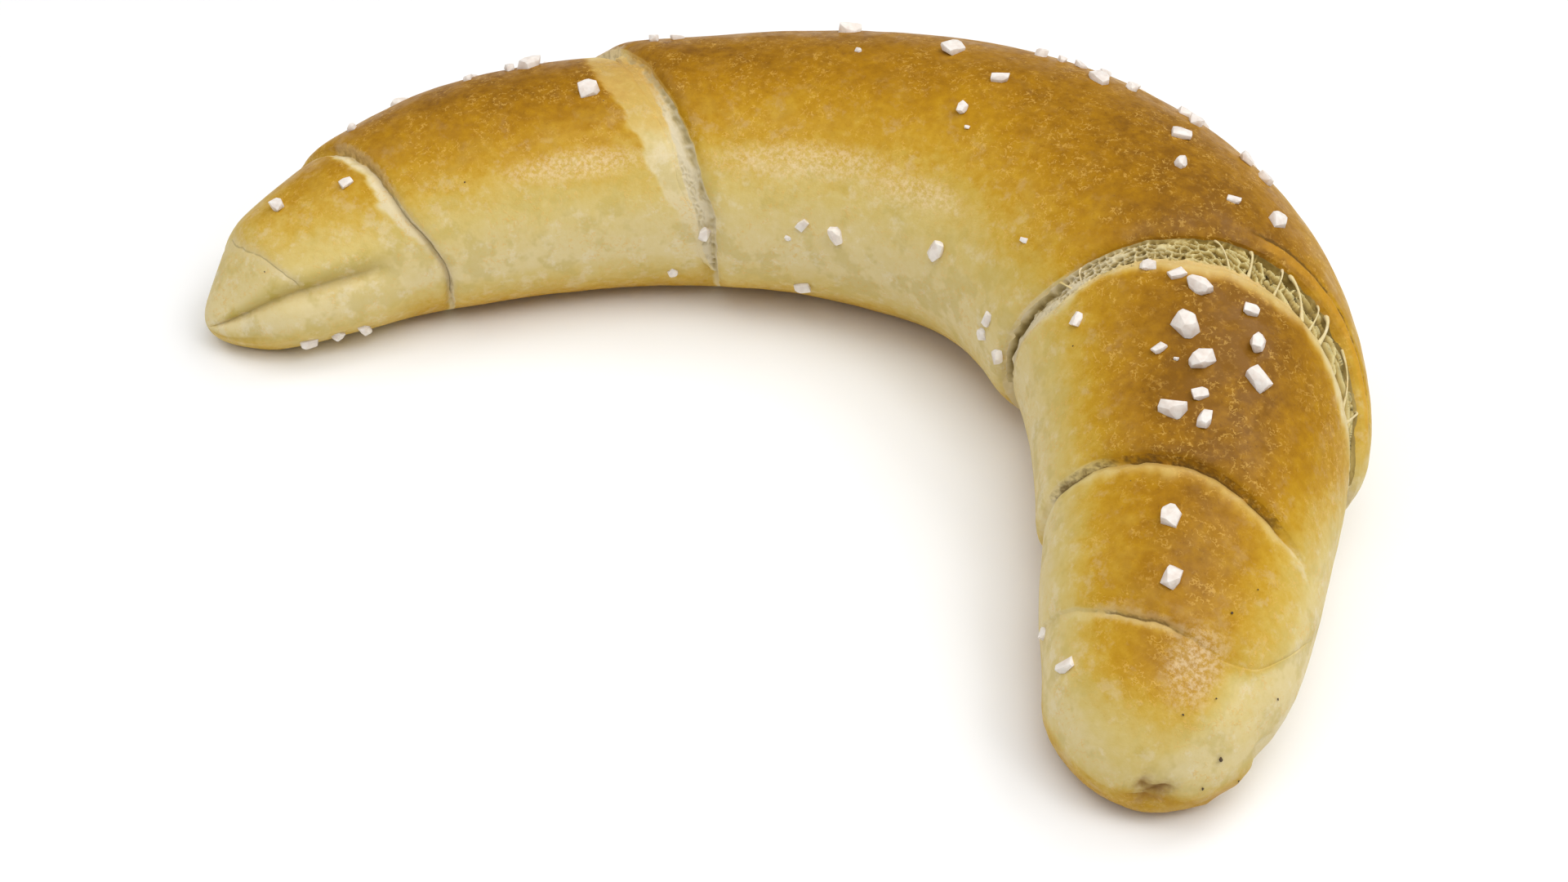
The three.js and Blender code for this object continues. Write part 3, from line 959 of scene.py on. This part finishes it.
def make_torn(name):
    seam = SEAMS[name]
    torn = seam["torn"]
    first, last = seam["span"]
    widest = torn["strip"](np.linspace(first, last, 50)).max()
    across = round((widest + STRIP_TUCKED) / STRIP_STEP)
    along = round(math.radians(last - first) * half_width_at(seam["lip_at"](90)) / STRIP_STEP)
    deselect_all()
    bpy.ops.mesh.primitive_grid_add(x_subdivisions=along, y_subdivisions=across, size=2)
    strip = named(bpy.context.object, "torn_crumb_" + name)
    x, y, _ = vertex_values(strip, "co").T
    angle = first + (last - first) * (x + 1) / 2
    width = torn["strip"](angle)
    d = -STRIP_TUCKED + (width + STRIP_TUCKED) * (y + 1) / 2
    station = lip_station(seam, angle) + seam["side"] * d
    pits, fibres = pit_pattern(seam, angle, d, width)
    slit = slit_depth(seam, angle, d)
    depth = torn["pits"](angle) * pits + slit
    drawn_out = torn["fibres"](angle) * fibres * within(d, 0, width - 0.8, 0.6)
    height = strip_height(seam, angle, d, width) - depth + drawn_out
    ends = within(angle, first + ENDS_FADE, last - ENDS_FADE, ENDS_FADE)
    height = height * ends - (1 - ends) * ENDS_SUNK
    height = (height + dough_lumps(station, angle)) * nose_share(station)
    places = section_point(station, angle, height) - CENTRE
    move_vertices(strip, places * MM)
    # Painted shade: darker in burst bubbles, in the slit and under the lip, and lighter on drawn-out
    # fibres.
    foot = torn["foot"](angle) * (1 - smoothstep(d, 0, 0.7))
    shaded = pits * np.clip(1.2 * torn["pits"](angle), 0, 0.9)
    hollow = np.maximum(np.maximum(shaded, slit * 0.8), foot) - 2 * drawn_out
    inner = smoothstep(angle, 85, 135) if name == "right_bend" else np.ones(len(angle))
    crumb = torn["crumbly"](angle) * (1 - smoothstep(d, width - 1.6, width - 0.5))
    paint(strip, hollow=np.clip(hollow, 0, 1), inner=inner, crumb=crumb)
    paint_browning(strip, station, angle, places)
    face = strip.data.polygons[len(strip.data.polygons) // 2]
    _, out = crust_seat(station[face.vertices[0]], angle[face.vertices[0]])
    if face.normal.dot(out) < 0:
        in_edit_mode(strip, bpy.ops.mesh.flip_normals)
    apply_modifier(strip, "SOLIDIFY", thickness=STRIP_THICKNESS * MM, offset=-1)
    make_active(strip)
    bpy.ops.object.shade_smooth()
    return strip


torn_strips = [make_torn(name) for name in TORN]
for strip in torn_strips:
    report(strip)

# %% [markdown]
# ## Strands across the tear
#
# Where the dough tore slowly it was drawn out into strings, and a few of them still cross the
# tear at the right bend. The grid can't make them, because they hang free of it. Each is a short curve
# with a round section, thin in the middle and thicker where it joins the dough, whose ends are sunk
# below the surface so that they don't look stuck on.

# %% Strands across the tear
STRANDS = [  # the angle where each leaves the lip and where it ends, and how thick it is
    (22, 27, 0.45),
    (35, 31, 0.35),
    (43, 48, 0.6),
    (47, 52, 0.3),
    (58, 55, 0.5),
    (61, 66, 0.35),
    (72, 75, 0.45),
    (84, 81, 0.3),
    (128, 131, 0.3),
    (137, 134, 0.35),
]
STRAND_SHAPE = (  # how far across the tear each point is, how thick, and how far above the crumb
    (0, 1.6, -0.3),
    (0.3, 0.8, 0.3),
    (0.65, 0.7, 0.15),
    (1, 1.5, -0.5),
)


def make_strand(seam, start, end, thickness):
    """A string of dough drawn across the tear from one angle to another."""
    deselect_all()
    bpy.ops.curve.primitive_bezier_curve_add()
    strand = bpy.context.object
    strand.data.bevel_depth = thickness / 2 * MM
    strand.data.bevel_resolution = 2
    points = strand.data.splines[0].bezier_points
    points.add(len(STRAND_SHAPE) - len(points))
    for point, (share, radius, raised) in zip(points, STRAND_SHAPE):
        angle = np.array(start + (end - start) * share)
        width = seam["torn"]["strip"](angle)
        d = -0.2 + (width - 0.9) * share
        station = lip_station(seam, angle) + seam["side"] * d
        height = strip_height(seam, angle, d, width) + dough_lumps(station, angle) + raised
        point.co = (section_point(station, angle, height) - CENTRE) * MM
        point.radius = radius
        point.handle_left_type = point.handle_right_type = "AUTO"
    bpy.ops.object.convert(target="MESH")
    bpy.ops.object.shade_smooth()
    return bpy.context.object


strands = [make_strand(SEAMS["right_bend"], *strand) for strand in STRANDS]
torn_strips[-1] = joined([torn_strips[-1], *strands], torn_strips[-1].name)
report(torn_strips[-1])

# %% [markdown]
# ## The salt
#
# Coarse baking salt is pressed from fine salt and then broken, so its grains are chunky, with flat
# breaks and worn edges, and they are as white inside as outside. A rough lump from noise looks like
# popcorn. Here each kind of grain is a cube whose corners are cut off by planes, as breaks do, and
# whose edges are then bevelled. The few kinds are modelled once, and every grain is a turned copy,
# laid in the same streaks and pressed in as deep as the solid's grains.

# %% The kinds of grain
GRAIN_KINDS = 7
BREAKS = 9  # cuts for each kind
GRAIN_BREADTH = 0.7  # of the length
GRAIN_THICKNESS = 0.56
WORN_EDGE = 0.2
WORN_DOWN = 0.94  # a worn grain's length, as a share of the whole one's


def seeded_draws(seed):
    """The same draws on every run."""
    state = seed
    while True:
        state = state * 16807 % 2147483647
        yield state / 2147483647


def break_off(normal, reach):
    """Cuts away what lies past a plane, and closes the cut."""
    bpy.ops.mesh.select_all(action="SELECT")
    bpy.ops.mesh.bisect(plane_co=normal * reach, plane_no=normal, use_fill=True, clear_outer=True)


def grain_kind(number):
    """One grain, a unit long, to be scaled later."""
    draw = seeded_draws(500 + number)
    deselect_all()
    bpy.ops.mesh.primitive_cube_add(size=1)
    grain = named(bpy.context.object, f"grain_kind_{number}")
    cuts = []
    for i in range(BREAKS):
        turn = 2 * math.pi * (i + next(draw)) / BREAKS
        rise = math.asin(2 * next(draw) - 1)
        flat = math.cos(rise)
        normal = Vector((math.cos(turn) * flat, math.sin(turn) * flat, math.sin(rise)))
        cuts.append((normal, 0.4 + 0.12 * next(draw)))
    in_edit_mode(grain, *(lambda cut=cut: break_off(*cut) for cut in cuts))
    apply_modifier(grain, "BEVEL", width=WORN_EDGE, segments=4, limit_method="ANGLE")
    return grain


kinds = [grain_kind(number) for number in range(GRAIN_KINDS)]
for kind in kinds:
    report(kind)

# %% The streaks of salt
STREAKS = [  # from a station and angle to a station and angle, and how many grains, or one place
    ((-112.5, 80), (-102, 98.5), 2),
    ((-96.5, 55),),
    ((-78.5, 57),),
    ((-72, 57), (-69, 57), 2),
    ((-60, 93),),
    ((-49.5, 59), (-46, 59), 2),
    ((-19.5, 57),),
    ((-3, 74.5),),
    ((3.5, 106.5), (6.5, 88.5), 2),
    ((7.5, 56), (16, 54.5), 4),
    ((18, 65), (21.5, 59), 2),
    ((20, 52),),
    ((27.5, 51), (30.5, 54), 2),
    ((33.8, 69.5), (39, 82), 2),
    ((37.5, 48), (41.5, 47), 2),
    ((47, 72.5), (50, 59.5), 2),
    ((55, 107.5), (61, 93), 3),
    ((65, 77), (75.5, 74), 3),
    ((68, 99.5), (74, 94.5), 2),
    ((71.5, 108), (81.2, 103), 2),
    ((79, 94.5), (83, 92), 2),
    ((59.5, 135.5),),
    ((98, 99.5), (107, 95), 2),
    ((118, 146), (110.5, 173), 2),
    ((-116.5, 203), (-107, 202), 3),
    ((-48, 196), (-41.2, 170.5), 2),
    ((-22, 160), (-14.5, 162.5), 2),
    ((-22, 197.5),),
    ((11.5, 159),),
    ((39, 166.5), (38, 175.5), 2),
    ((47, 177),),
    ((-6, 32), (34, 26), 6),
    ((8, 16), (26, 42), 3),
    ((-88, 36), (-66, 28), 3),
]
GRAIN_LENGTHS = (2.1, 4.9)
GRAIN_SINK = 0.36  # the share of the thickness that is baked into the crust
SCATTER = 0.4
SALT_SEED = 1307780  # the solid's, searched for so that the lengths come near the photograph's
FINE_SALT = [(-17, 82, 1.3), (-25, 167, 1.2), (34.8, 137.5, 1.2), (73.5, 103, 0.8), (6.5, 113, 0.9)]


def grain_places():
    """Each grain's station, angle, length and turn, in the order of the solid's draws."""
    draw = seeded_draws(SALT_SEED)
    least, most = GRAIN_LENGTHS
    for start, *rest in STREAKS:
        end, grains = rest or (start, 1)
        for i in range(grains):
            along = i / max(grains - 1, 1)
            station = start[0] + (end[0] - start[0]) * along + SCATTER * (2 * next(draw) - 1)
            aside = math.degrees(SCATTER * (2 * next(draw) - 1) / half_width_at(station))
            angle = start[1] + (end[1] - start[1]) * along + aside
            length = least + (most - least) * next(draw) ** 2
            yield station, angle, length, 2 * math.pi * next(draw)
    for station, angle, length in FINE_SALT:
        yield station, angle, length, 0


def lay(kind, station, angle, shape, turn):
    """A copy of a kind with a mesh of its own, lying on the crust."""
    length, breadth, thickness = shape[0], shape[0] * shape[1], shape[0] * shape[2]
    seat, out = crust_seat(station, angle)
    place = Matrix.Translation((seat + out * thickness * (0.5 - GRAIN_SINK)) * MM)
    upright = Vector((0, 0, 1)).rotation_difference(out).to_matrix().to_4x4()
    size = Matrix.Diagonal((length * MM, breadth * MM, thickness * MM, 1))
    copy = kind.copy()
    copy.data = kind.data.copy()
    copy.data.transform(place @ upright @ Matrix.Rotation(turn, 4, "Z") @ size)
    bpy.context.collection.objects.link(copy)
    return copy


# %% Salt on the crust
grains = []
for i, (station, angle, length, turn) in enumerate(grain_places()):
    shape = (length * WORN_DOWN, GRAIN_BREADTH, GRAIN_THICKNESS)
    grains.append(lay(kinds[i % GRAIN_KINDS], station, angle, shape, turn))
salt = joined(grains, "salt_grains")
for kind in kinds:
    bpy.data.objects.remove(kind)
make_active(salt)
bpy.ops.object.shade_smooth_by_angle(angle=math.radians(60))
report(salt)

# %% [markdown]
# ## Burnt specks
#
# A few flakes of old crust and flour burn onto the tin and stick to the next roll. They could be
# dots in the crust's colour, but a real flake stands a little proud and has its own shadow. So one
# flat, uneven flake is modelled from a ball pushed in on some sides, and copied to where specks show.

# %% The specks
SPECK_LENGTH, SPECK_BREADTH, SPECK_THICKNESS = 0.45, 0.7, 0.4  # breadth and thickness as shares
SPECKS = [  # station, angle, and the length as a share of the usual one
    (113.5, 24, 0.9),
    (123, 29, 1.9),
    (118.5, 56.5, 0.7),
    (121.8, -2, 1.0),
    (122, 69.5, 0.8),
    (113.8, 51, 0.7),
    (125.5, 12, 1.2),
    (108.5, 66, 1.0),
    (104, 58, 0.6),
    (92, 118, 0.7),
    (64.8, 140.5, 0.7),
    (61, 168, 0.9),
    (33, 152, 0.8),
    (-20, 118, 0.6),
    (-58, 101, 0.7),
    (-84, 128, 0.7),
    (-119, 120, 0.8),
    (-8, -30, 0.9),
    (-74, -18, 0.8),
]


def speck_kind():
    deselect_all()
    bpy.ops.mesh.primitive_ico_sphere_add(subdivisions=3, radius=0.5)
    speck = named(bpy.context.object, "speck_kind")
    places = vertex_values(speck, "co")
    move_vertices(speck, places * (1 + 0.35 * lumps(places, 0.45, 12)[:, None]))
    bpy.ops.object.shade_smooth()
    return speck


speck = speck_kind()
turns = seeded_draws(77)
specks = []
for station, angle, share in SPECKS:
    shape = (SPECK_LENGTH * share, SPECK_BREADTH, SPECK_THICKNESS)
    specks.append(lay(speck, station, angle, shape, 2 * math.pi * next(turns)))
burnt_specks = joined(specks, "burnt_specks")
bpy.data.objects.remove(speck)
report(burnt_specks)

# %% [markdown]
# ## Shader sums in Python
#
# A material in Blender is a net of nodes, and sums in it take a node for each sign. A small class
# stands for a socket, and adding, taking away or multiplying it adds the Math node. Every other
# node comes from one method, which takes the node's type, its settings and what goes into its
# sockets.


# %% Wires and finishes
def sign(operation, reflected=False):
    """What a sign between two terms does: it adds the Math node for its operation."""

    def applied(wire, other):
        terms = {0: other, 1: wire} if reflected else {0: wire, 1: other}
        return wire.finish.node("ShaderNodeMath", {"operation": operation}, terms)

    return applied


class Wire:
    """A shader socket that can stand in a sum."""

    __add__, __radd__ = sign("ADD"), sign("ADD", reflected=True)
    __sub__, __rsub__ = sign("SUBTRACT"), sign("SUBTRACT", reflected=True)
    __mul__, __rmul__ = sign("MULTIPLY"), sign("MULTIPLY", reflected=True)
    __truediv__, __rtruediv__ = sign("DIVIDE"), sign("DIVIDE", reflected=True)

    def __init__(self, finish, socket):
        self.finish, self.socket = finish, socket

    def __abs__(self):
        return self.finish.node("ShaderNodeMath", {"operation": "ABSOLUTE"}, {0: self})


def from_display(colour):
    """A colour as a screen shows it, from 0 to 255, as the light that Blender counts in."""
    shares = [channel / 255 for channel in colour]
    return [s / 12.92 if s <= 0.04045 else ((s + 0.055) / 1.055) ** 2.4 for s in shares] + [1]


class Finish:
    """A material and the nodes that are added to it."""

    def __init__(self, name, **constants):
        self.material = bpy.data.materials.new(name)
        self.material.use_nodes = True
        self.tree = self.material.node_tree
        self.shader = next(n for n in self.tree.nodes if n.type == "BSDF_PRINCIPLED")
        for socket, value in constants.items():
            self.shader.inputs[socket.replace("_", " ")].default_value = value

    def node(self, kind, settings=None, inputs=None, output=0):
        made = self.tree.nodes.new(kind)
        for name, value in (settings or {}).items():
            if name == "stops":
                self._set_stops(made.color_ramp, value)
            else:
                setattr(made, name, value)
        for socket, value in (inputs or {}).items():
            self.feed(made.inputs[socket], value)
        return Wire(self, made.outputs[output])

    def _set_stops(self, ramp, stops):
        while len(ramp.elements) < len(stops):
            ramp.elements.new(0.5)
        for element, (place, colour) in zip(ramp.elements, stops):
            element.position, element.color = place, from_display(colour)

    def feed(self, socket, value):
        if isinstance(value, Wire):
            self.tree.links.new(value.socket, socket)
        else:
            socket.default_value = value

    def attribute(self, name):
        return self.node("ShaderNodeAttribute", {"attribute_name": name}, output=2)

    def places(self):
        return self.node("ShaderNodeTexCoord", output=3)

    def grain(self, size, detail=2.0, roughness=0.5, shift=0.0):
        """Noise from 0 to 1 whose lumps are about size millimetres across."""
        moved = self.node("ShaderNodeMapping", {}, {0: self.places(), 1: (shift, shift / 2, 0)})
        inputs = {"Vector": moved, "Scale": 1 / (size * MM), "Detail": detail, "Roughness": roughness}
        return self.node("ShaderNodeTexNoise", {}, inputs)

    def smooth(self, value, start, end):
        inputs = {"Value": value, "From Min": start, "From Max": end}
        return self.node("ShaderNodeMapRange", {"interpolation_type": "SMOOTHSTEP"}, inputs)

    def patches(self, between, *grain):
        """Patches with soft edges, 0 where noise is under the first value and 1 over the second."""
        return self.smooth(self.grain(*grain), *between)

    def ramp(self, value, stops):
        return self.node("ShaderNodeValToRGB", {"stops": stops}, {0: value})

    def mix(self, factor, first, second):
        inputs = {0: factor, 6: first, 7: second}
        return self.node("ShaderNodeMix", {"data_type": "RGBA"}, inputs, output=2)

    def tint(self, colour, share, laid_over):
        """Lays a share of a colour, as a screen shows it, over another."""
        return self.mix(share, colour, from_display(laid_over))

    def bump(self, height, depth, strength=1.0):
        """Bump whose height of 1 stands depth millimetres proud."""
        inputs = {"Height": height, "Distance": depth * MM, "Strength": strength}
        return self.node("ShaderNodeBump", {}, inputs)

    def set(self, **wires):
        for socket, value in wires.items():
            self.feed(self.shader.inputs[socket.replace("_", " ")], value)
        return self.material


# %% [markdown]
# ## The crust's finish
#
# Egg-washed crust is a thin brown glass over dough. Its colour runs from cream over straw and gold to
# brown, so a colour ramp reads the browning, after noise at three sizes has made it uneven. Browned
# crust is also full of tiny pale flecks, where little blisters have burst or the egg missed. A
# highlight is painted as pale flecks on a few patches, olive shade is painted above the tuck's
# crease and brown shade in the hole of the right nose. The egg shines where it is, so the torn bands
# and the cracks are rougher and have no coat.

# %% The crust's material
CRUST_COLOURS = [
    (0.0, (227, 209, 156)),
    (0.14, (217, 193, 117)),
    (0.28, (207, 171, 72)),
    (0.42, (194, 149, 34)),
    (0.56, (180, 132, 18)),
    (0.7, (166, 117, 14)),
    (0.85, (150, 103, 12)),
    (1.0, (130, 86, 10)),
]
BARE_COLOUR = (227, 211, 172)
WHITE_PATCH, OLIVE_PATCH_AND_CREASE_SHADE = (236, 224, 196), (192, 170, 86)
CRACK_COLOUR = (96, 70, 28)
TORN_COLOUR = (222, 204, 164)
LOOSE_COLOUR = (214, 156, 48)
CURL_COLOUR = (226, 180, 92)
HIGHLIGHT_FLECK_COLOUR = (242, 218, 178)
HOLE_SHADE_COLOUR = (142, 94, 34)


def crust_colour(finish, mottle, curls):
    """The browning's colour, made uneven."""
    brown, bare = finish.attribute("browning"), finish.attribute("bare")
    clouds = finish.grain(7, 3) - 0.5
    pores = finish.patches((0.6, 0.75), 0.6, 2, 0.6, 0.17)
    uneven = brown * (clouds * 0.5 + mottle * 0.6 - curls * 0.1 + pores * 0.16) + mottle * 0.1
    colour = finish.ramp(brown + uneven, CRUST_COLOURS)
    colour = finish.tint(colour, bare * bare * 0.85, BARE_COLOUR)
    pale = (1 - brown) * (1 - brown)
    olive_and_crease_shade = finish.patches((0.5, 0.62), 5, 3, 0.6, 0.29) * pale * 0.4
    # Over the random olive patches, olive shade is painted just above the tuck's crease.
    olive_and_crease_shade = olive_and_crease_shade + finish.attribute("creased") * 0.7
    white = finish.patches((0.52, 0.68), 3.4, 4, 0.7, 0.37) * pale * 0.4
    colour = finish.tint(colour, olive_and_crease_shade, OLIVE_PATCH_AND_CREASE_SHADE)
    colour = finish.tint(colour, white, WHITE_PATCH)
    colour = finish.tint(colour, curls * 0.45, CURL_COLOUR)
    # A highlight is painted on a few patches, as pale flecks and a slight paling.
    blistered = finish.attribute("blistered")
    highlight_flecks = finish.patches((0.4, 0.64), 0.7, 4, 0.75, 0.43) * blistered
    return finish.tint(colour, highlight_flecks * 0.48 + blistered * 0.06, HIGHLIGHT_FLECK_COLOUR)


def fine_unevenness(finish):
    """Mottle at the size of a blister, and little curls where a blister burst."""
    mottle = finish.grain(1.7, 3, 0.6, 0.03) - 0.5
    line = abs(finish.grain(0.9, 2, 0.6, 0.05) - 0.5)
    curls = (1 - finish.smooth(line, 0.015, 0.06)) * finish.patches((0.46, 0.6), 0.9, 2, 0.5, 0.07)
    return mottle, curls * finish.patches((0.35, 0.65), 5, 2, 0.5, 0.31)


def crack_line(finish, aside, wobble):
    """1 in a ragged line along aside = 0, broken here and there. Widths are counted in cracks."""
    line = 1 - finish.smooth(abs(aside + wobble), 0.15, 1)
    return line * finish.patches((0.33, 0.43), 2.8, 2, 0.5, 0.11)


def crust_finish():
    finish = Finish("crust", Coat_Roughness=0.25, IOR=1.45, Specular_IOR_Level=0.14)
    names = ("bare", "past", "gap", "dark", "raw", "loose", "torn", "burnt")
    bare, past, gap, dark, raw, loose, torn, burnt = (finish.attribute(name) for name in names)
    mottle, curls = fine_unevenness(finish)
    ragged = finish.grain(0.9, 3, 0.6, 0.13) - 0.5
    crack = crack_line(finish, past / gap - 0.8, ragged * 1.6) * dark
    groove = crack_line(finish, loose * 2.6, ragged * 2.2) * torn
    strand = (1 - finish.smooth(abs(loose - 1 + ragged), 0.4, 0.9)) * torn
    edge = 1 - finish.smooth(abs(past - 0.2 + ragged * 1.6), 0.4, 1.1)
    edge = edge * finish.smooth(dark, 0.1, 0.6) * raw
    crack = crack + groove
    colour = crust_colour(finish, mottle, curls)
    colour = finish.tint(colour, edge, TORN_COLOUR)
    colour = finish.tint(colour, strand * 0.4, LOOSE_COLOUR)
    colour = finish.tint(colour, crack * 0.8, CRACK_COLOUR)
    # Brown shade is painted in the hole in the right nose.
    hole = finish.smooth(burnt + ragged * 0.5, 0.05, 0.9)
    colour = finish.tint(colour, hole * 0.8, HOLE_SHADE_COLOUR)
    glazed = finish.patches((0.4, 0.6), 3.2, 3, 0.6, 0.19)
    roughness = 0.54 + bare * 0.25 + crack * 0.3 + mottle * 0.3 - glazed * 0.1
    skin = finish.grain(0.9, 3, 0.6) * 0.6 + finish.grain(0.3, 2, 0.5, 0.05) * 0.25 + curls * 0.25
    hurt = finish.grain(0.5, 2, 0.6, 0.23) * edge * 1.2 - crack
    return finish.set(
        Base_Color=colour,
        Roughness=roughness,
        Coat_Weight=(1 - bare) * (0.03 + glazed * 0.08),
        Normal=finish.bump(skin + hurt, 0.16, 0.7),
    )


crust.data.materials.append(crust_finish())

# %% [markdown]
# ## The torn crumb's finish
#
# Crumb is pale and dull where the light reaches it and looks darker and more olive deep in a bubble,
# where it only gets light that bounced off other crumb. A render would darken the bubbles by itself,
# but far less than a real crumb's open pores do, so a ramp paints shade by how hollow each place is,
# and also in the slit beside the lip and under the lip. Where the strip is skin and not crumb, it
# takes the crust's own colour, and so the two meet without a line.

# %% The torn crumb's material
# The crumb's colour in the light, then painted shade deeper in a bubble.
CRUMB_AND_SHADE_COLOURS = [
    (0.0, (216, 200, 140)),
    (0.35, (186, 160, 88)),
    (0.7, (134, 110, 46)),
    (1.0, (98, 80, 30)),
]
INNER_CRUMB_AND_SHADE_COLOURS = [
    (0.0, (220, 206, 172)),
    (0.35, (198, 180, 132)),
    (0.7, (150, 130, 78)),
    (1.0, (112, 92, 46)),
]


def crumb_finish():
    finish = Finish("torn_crumb", IOR=1.4)
    mottle, curls = fine_unevenness(finish)
    cloud = finish.grain(1.1, 3) - 0.5
    # Painted shade, darker the more hollow a place is.
    depth = finish.attribute("hollow") + cloud * 0.3
    outer, inner = (finish.ramp(depth, colours) for colours in (CRUMB_AND_SHADE_COLOURS, INNER_CRUMB_AND_SHADE_COLOURS))
    colour = finish.mix(finish.attribute("inner"), outer, inner)
    torn = finish.attribute("crumb") + cloud * 0.6 + finish.attribute("hollow")
    torn = finish.smooth(torn, 0.25, 0.75)
    return finish.set(
        Base_Color=finish.mix(torn, crust_colour(finish, mottle, curls), colour),
        Roughness=0.6 + cloud * 0.3,
        Normal=finish.bump(finish.grain(0.35, 2), 0.12, 0.6),
    )


crumb = crumb_finish()
for strip in torn_strips:
    strip.data.materials.append(crumb)

# %% [markdown]
# ## The salt's and the specks' finish
#
# Pressed salt lets light in a little way and scatters it, so its shaded sides stay light. Glass would
# be too clear and plain white too chalky, so a white shader gets some scattering below its surface.
# The burnt flakes are plain dark brown.

# %% The salt's material
def salt_finish():
    finish = Finish("salt", Subsurface_Weight=0.4, IOR=1.5)
    finish.shader.inputs["Subsurface Radius"].default_value = (1.0, 0.9, 0.85)
    finish.shader.inputs["Subsurface Scale"].default_value = 1.5 * MM
    cloud = finish.grain(1.2, 2)
    colour = finish.ramp(cloud, [(0.3, (230, 217, 206)), (0.7, (248, 240, 232))])
    return finish.set(
        Base_Color=colour,
        Roughness=0.45 + cloud * 0.2,
        Normal=finish.bump(finish.grain(0.35, 2), 0.1, 0.6),
    )


salt.data.materials.append(salt_finish())
speck_finish = Finish("burnt", Roughness=0.6)
burnt_specks.data.materials.append(speck_finish.set(Base_Color=from_display((70, 50, 24))))

# %% [markdown]
# ## Riding on the frame
#
# Each piece rides on the solid's one body and stands for its node.

# %% Hand the pieces to the frame
for piece in (crust, *torn_strips, salt, burnt_specks):
    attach(piece, "root")
    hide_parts(NODE)

# %% [markdown]
# ## Floor, light and camera
#
# The roll lies on plain white under large soft lights. Most of the light comes from overhead. Weaker
# ones stand on the left, on the right and behind, and a small one stands at the front left, where the
# shine on the inner side says it was. The camera looks down from the front right with a longish lens.

# %% The floor
deselect_all()
bpy.ops.mesh.primitive_plane_add(size=6)
floor = named(bpy.context.object, "floor")
floor_finish = Finish("floor", Roughness=0.9)
floor.data.materials.append(floor_finish.set(Base_Color=(0.96, 0.96, 0.96, 1)))

# %% Light
bpy.context.scene.view_settings.view_transform = "Standard"
world = bpy.data.worlds.new("studio")
world.use_nodes = True
world.node_tree.nodes["Background"].inputs["Color"].default_value = (1, 1, 1, 1)
world.node_tree.nodes["Background"].inputs["Strength"].default_value = 0.2
bpy.context.scene.world = world
AIM = Vector((3.6, -21.3, 0)) * MM


def direction(azimuth, elevation):
    """The way from the aim to a lamp or a camera."""
    a, e = math.radians(azimuth), math.radians(elevation)
    return Vector((math.sin(a) * math.cos(e), -math.cos(a) * math.cos(e), math.sin(e)))


def placed(azimuth, elevation, distance):
    """Where a lamp or a camera stands, and how it is turned to look at the aim."""
    out = direction(azimuth, elevation)
    return dict(location=AIM + out * distance, rotation=out.to_track_quat("Z", "Y").to_euler())


def softbox(name, azimuth, elevation, distance, width, power):
    """A square lamp that gives soft light. Distances and widths are in metres, power in watts."""
    deselect_all()
    bpy.ops.object.light_add(type="AREA", **placed(azimuth, elevation, distance))
    lamp = bpy.context.object
    lamp.name = name
    lamp.data.size = width
    lamp.data.energy = power
    return lamp


softbox("front_left", -22, 46, 0.9, 0.32, 0.7)
softbox("left", -85, 44, 1.0, 0.5, 1.3)
softbox("overhead", 60, 80, 1.0, 0.9, 6.1)
softbox("behind", 158, 50, 1.0, 0.4, 2.2)
softbox("right", 105, 50, 1.0, 0.5, 2.1)

# %% The camera
deselect_all()
CAMERA_AZIMUTH, CAMERA_ELEVATION = 32.69, 47.68
CAMERA_DISTANCE = 336 * MM
SENSOR_WIDTH, FOCAL_LENGTH = 36, 48.75  # in millimetres, as on a real camera
bpy.ops.object.camera_add(**placed(CAMERA_AZIMUTH, CAMERA_ELEVATION, CAMERA_DISTANCE))
camera = bpy.context.object
camera.data.sensor_width = SENSOR_WIDTH
camera.data.lens = FOCAL_LENGTH
camera.data.clip_start = 0.01
bpy.context.scene.camera = camera
print("the camera stands", round(CAMERA_DISTANCE / MM), "mm from its aim")
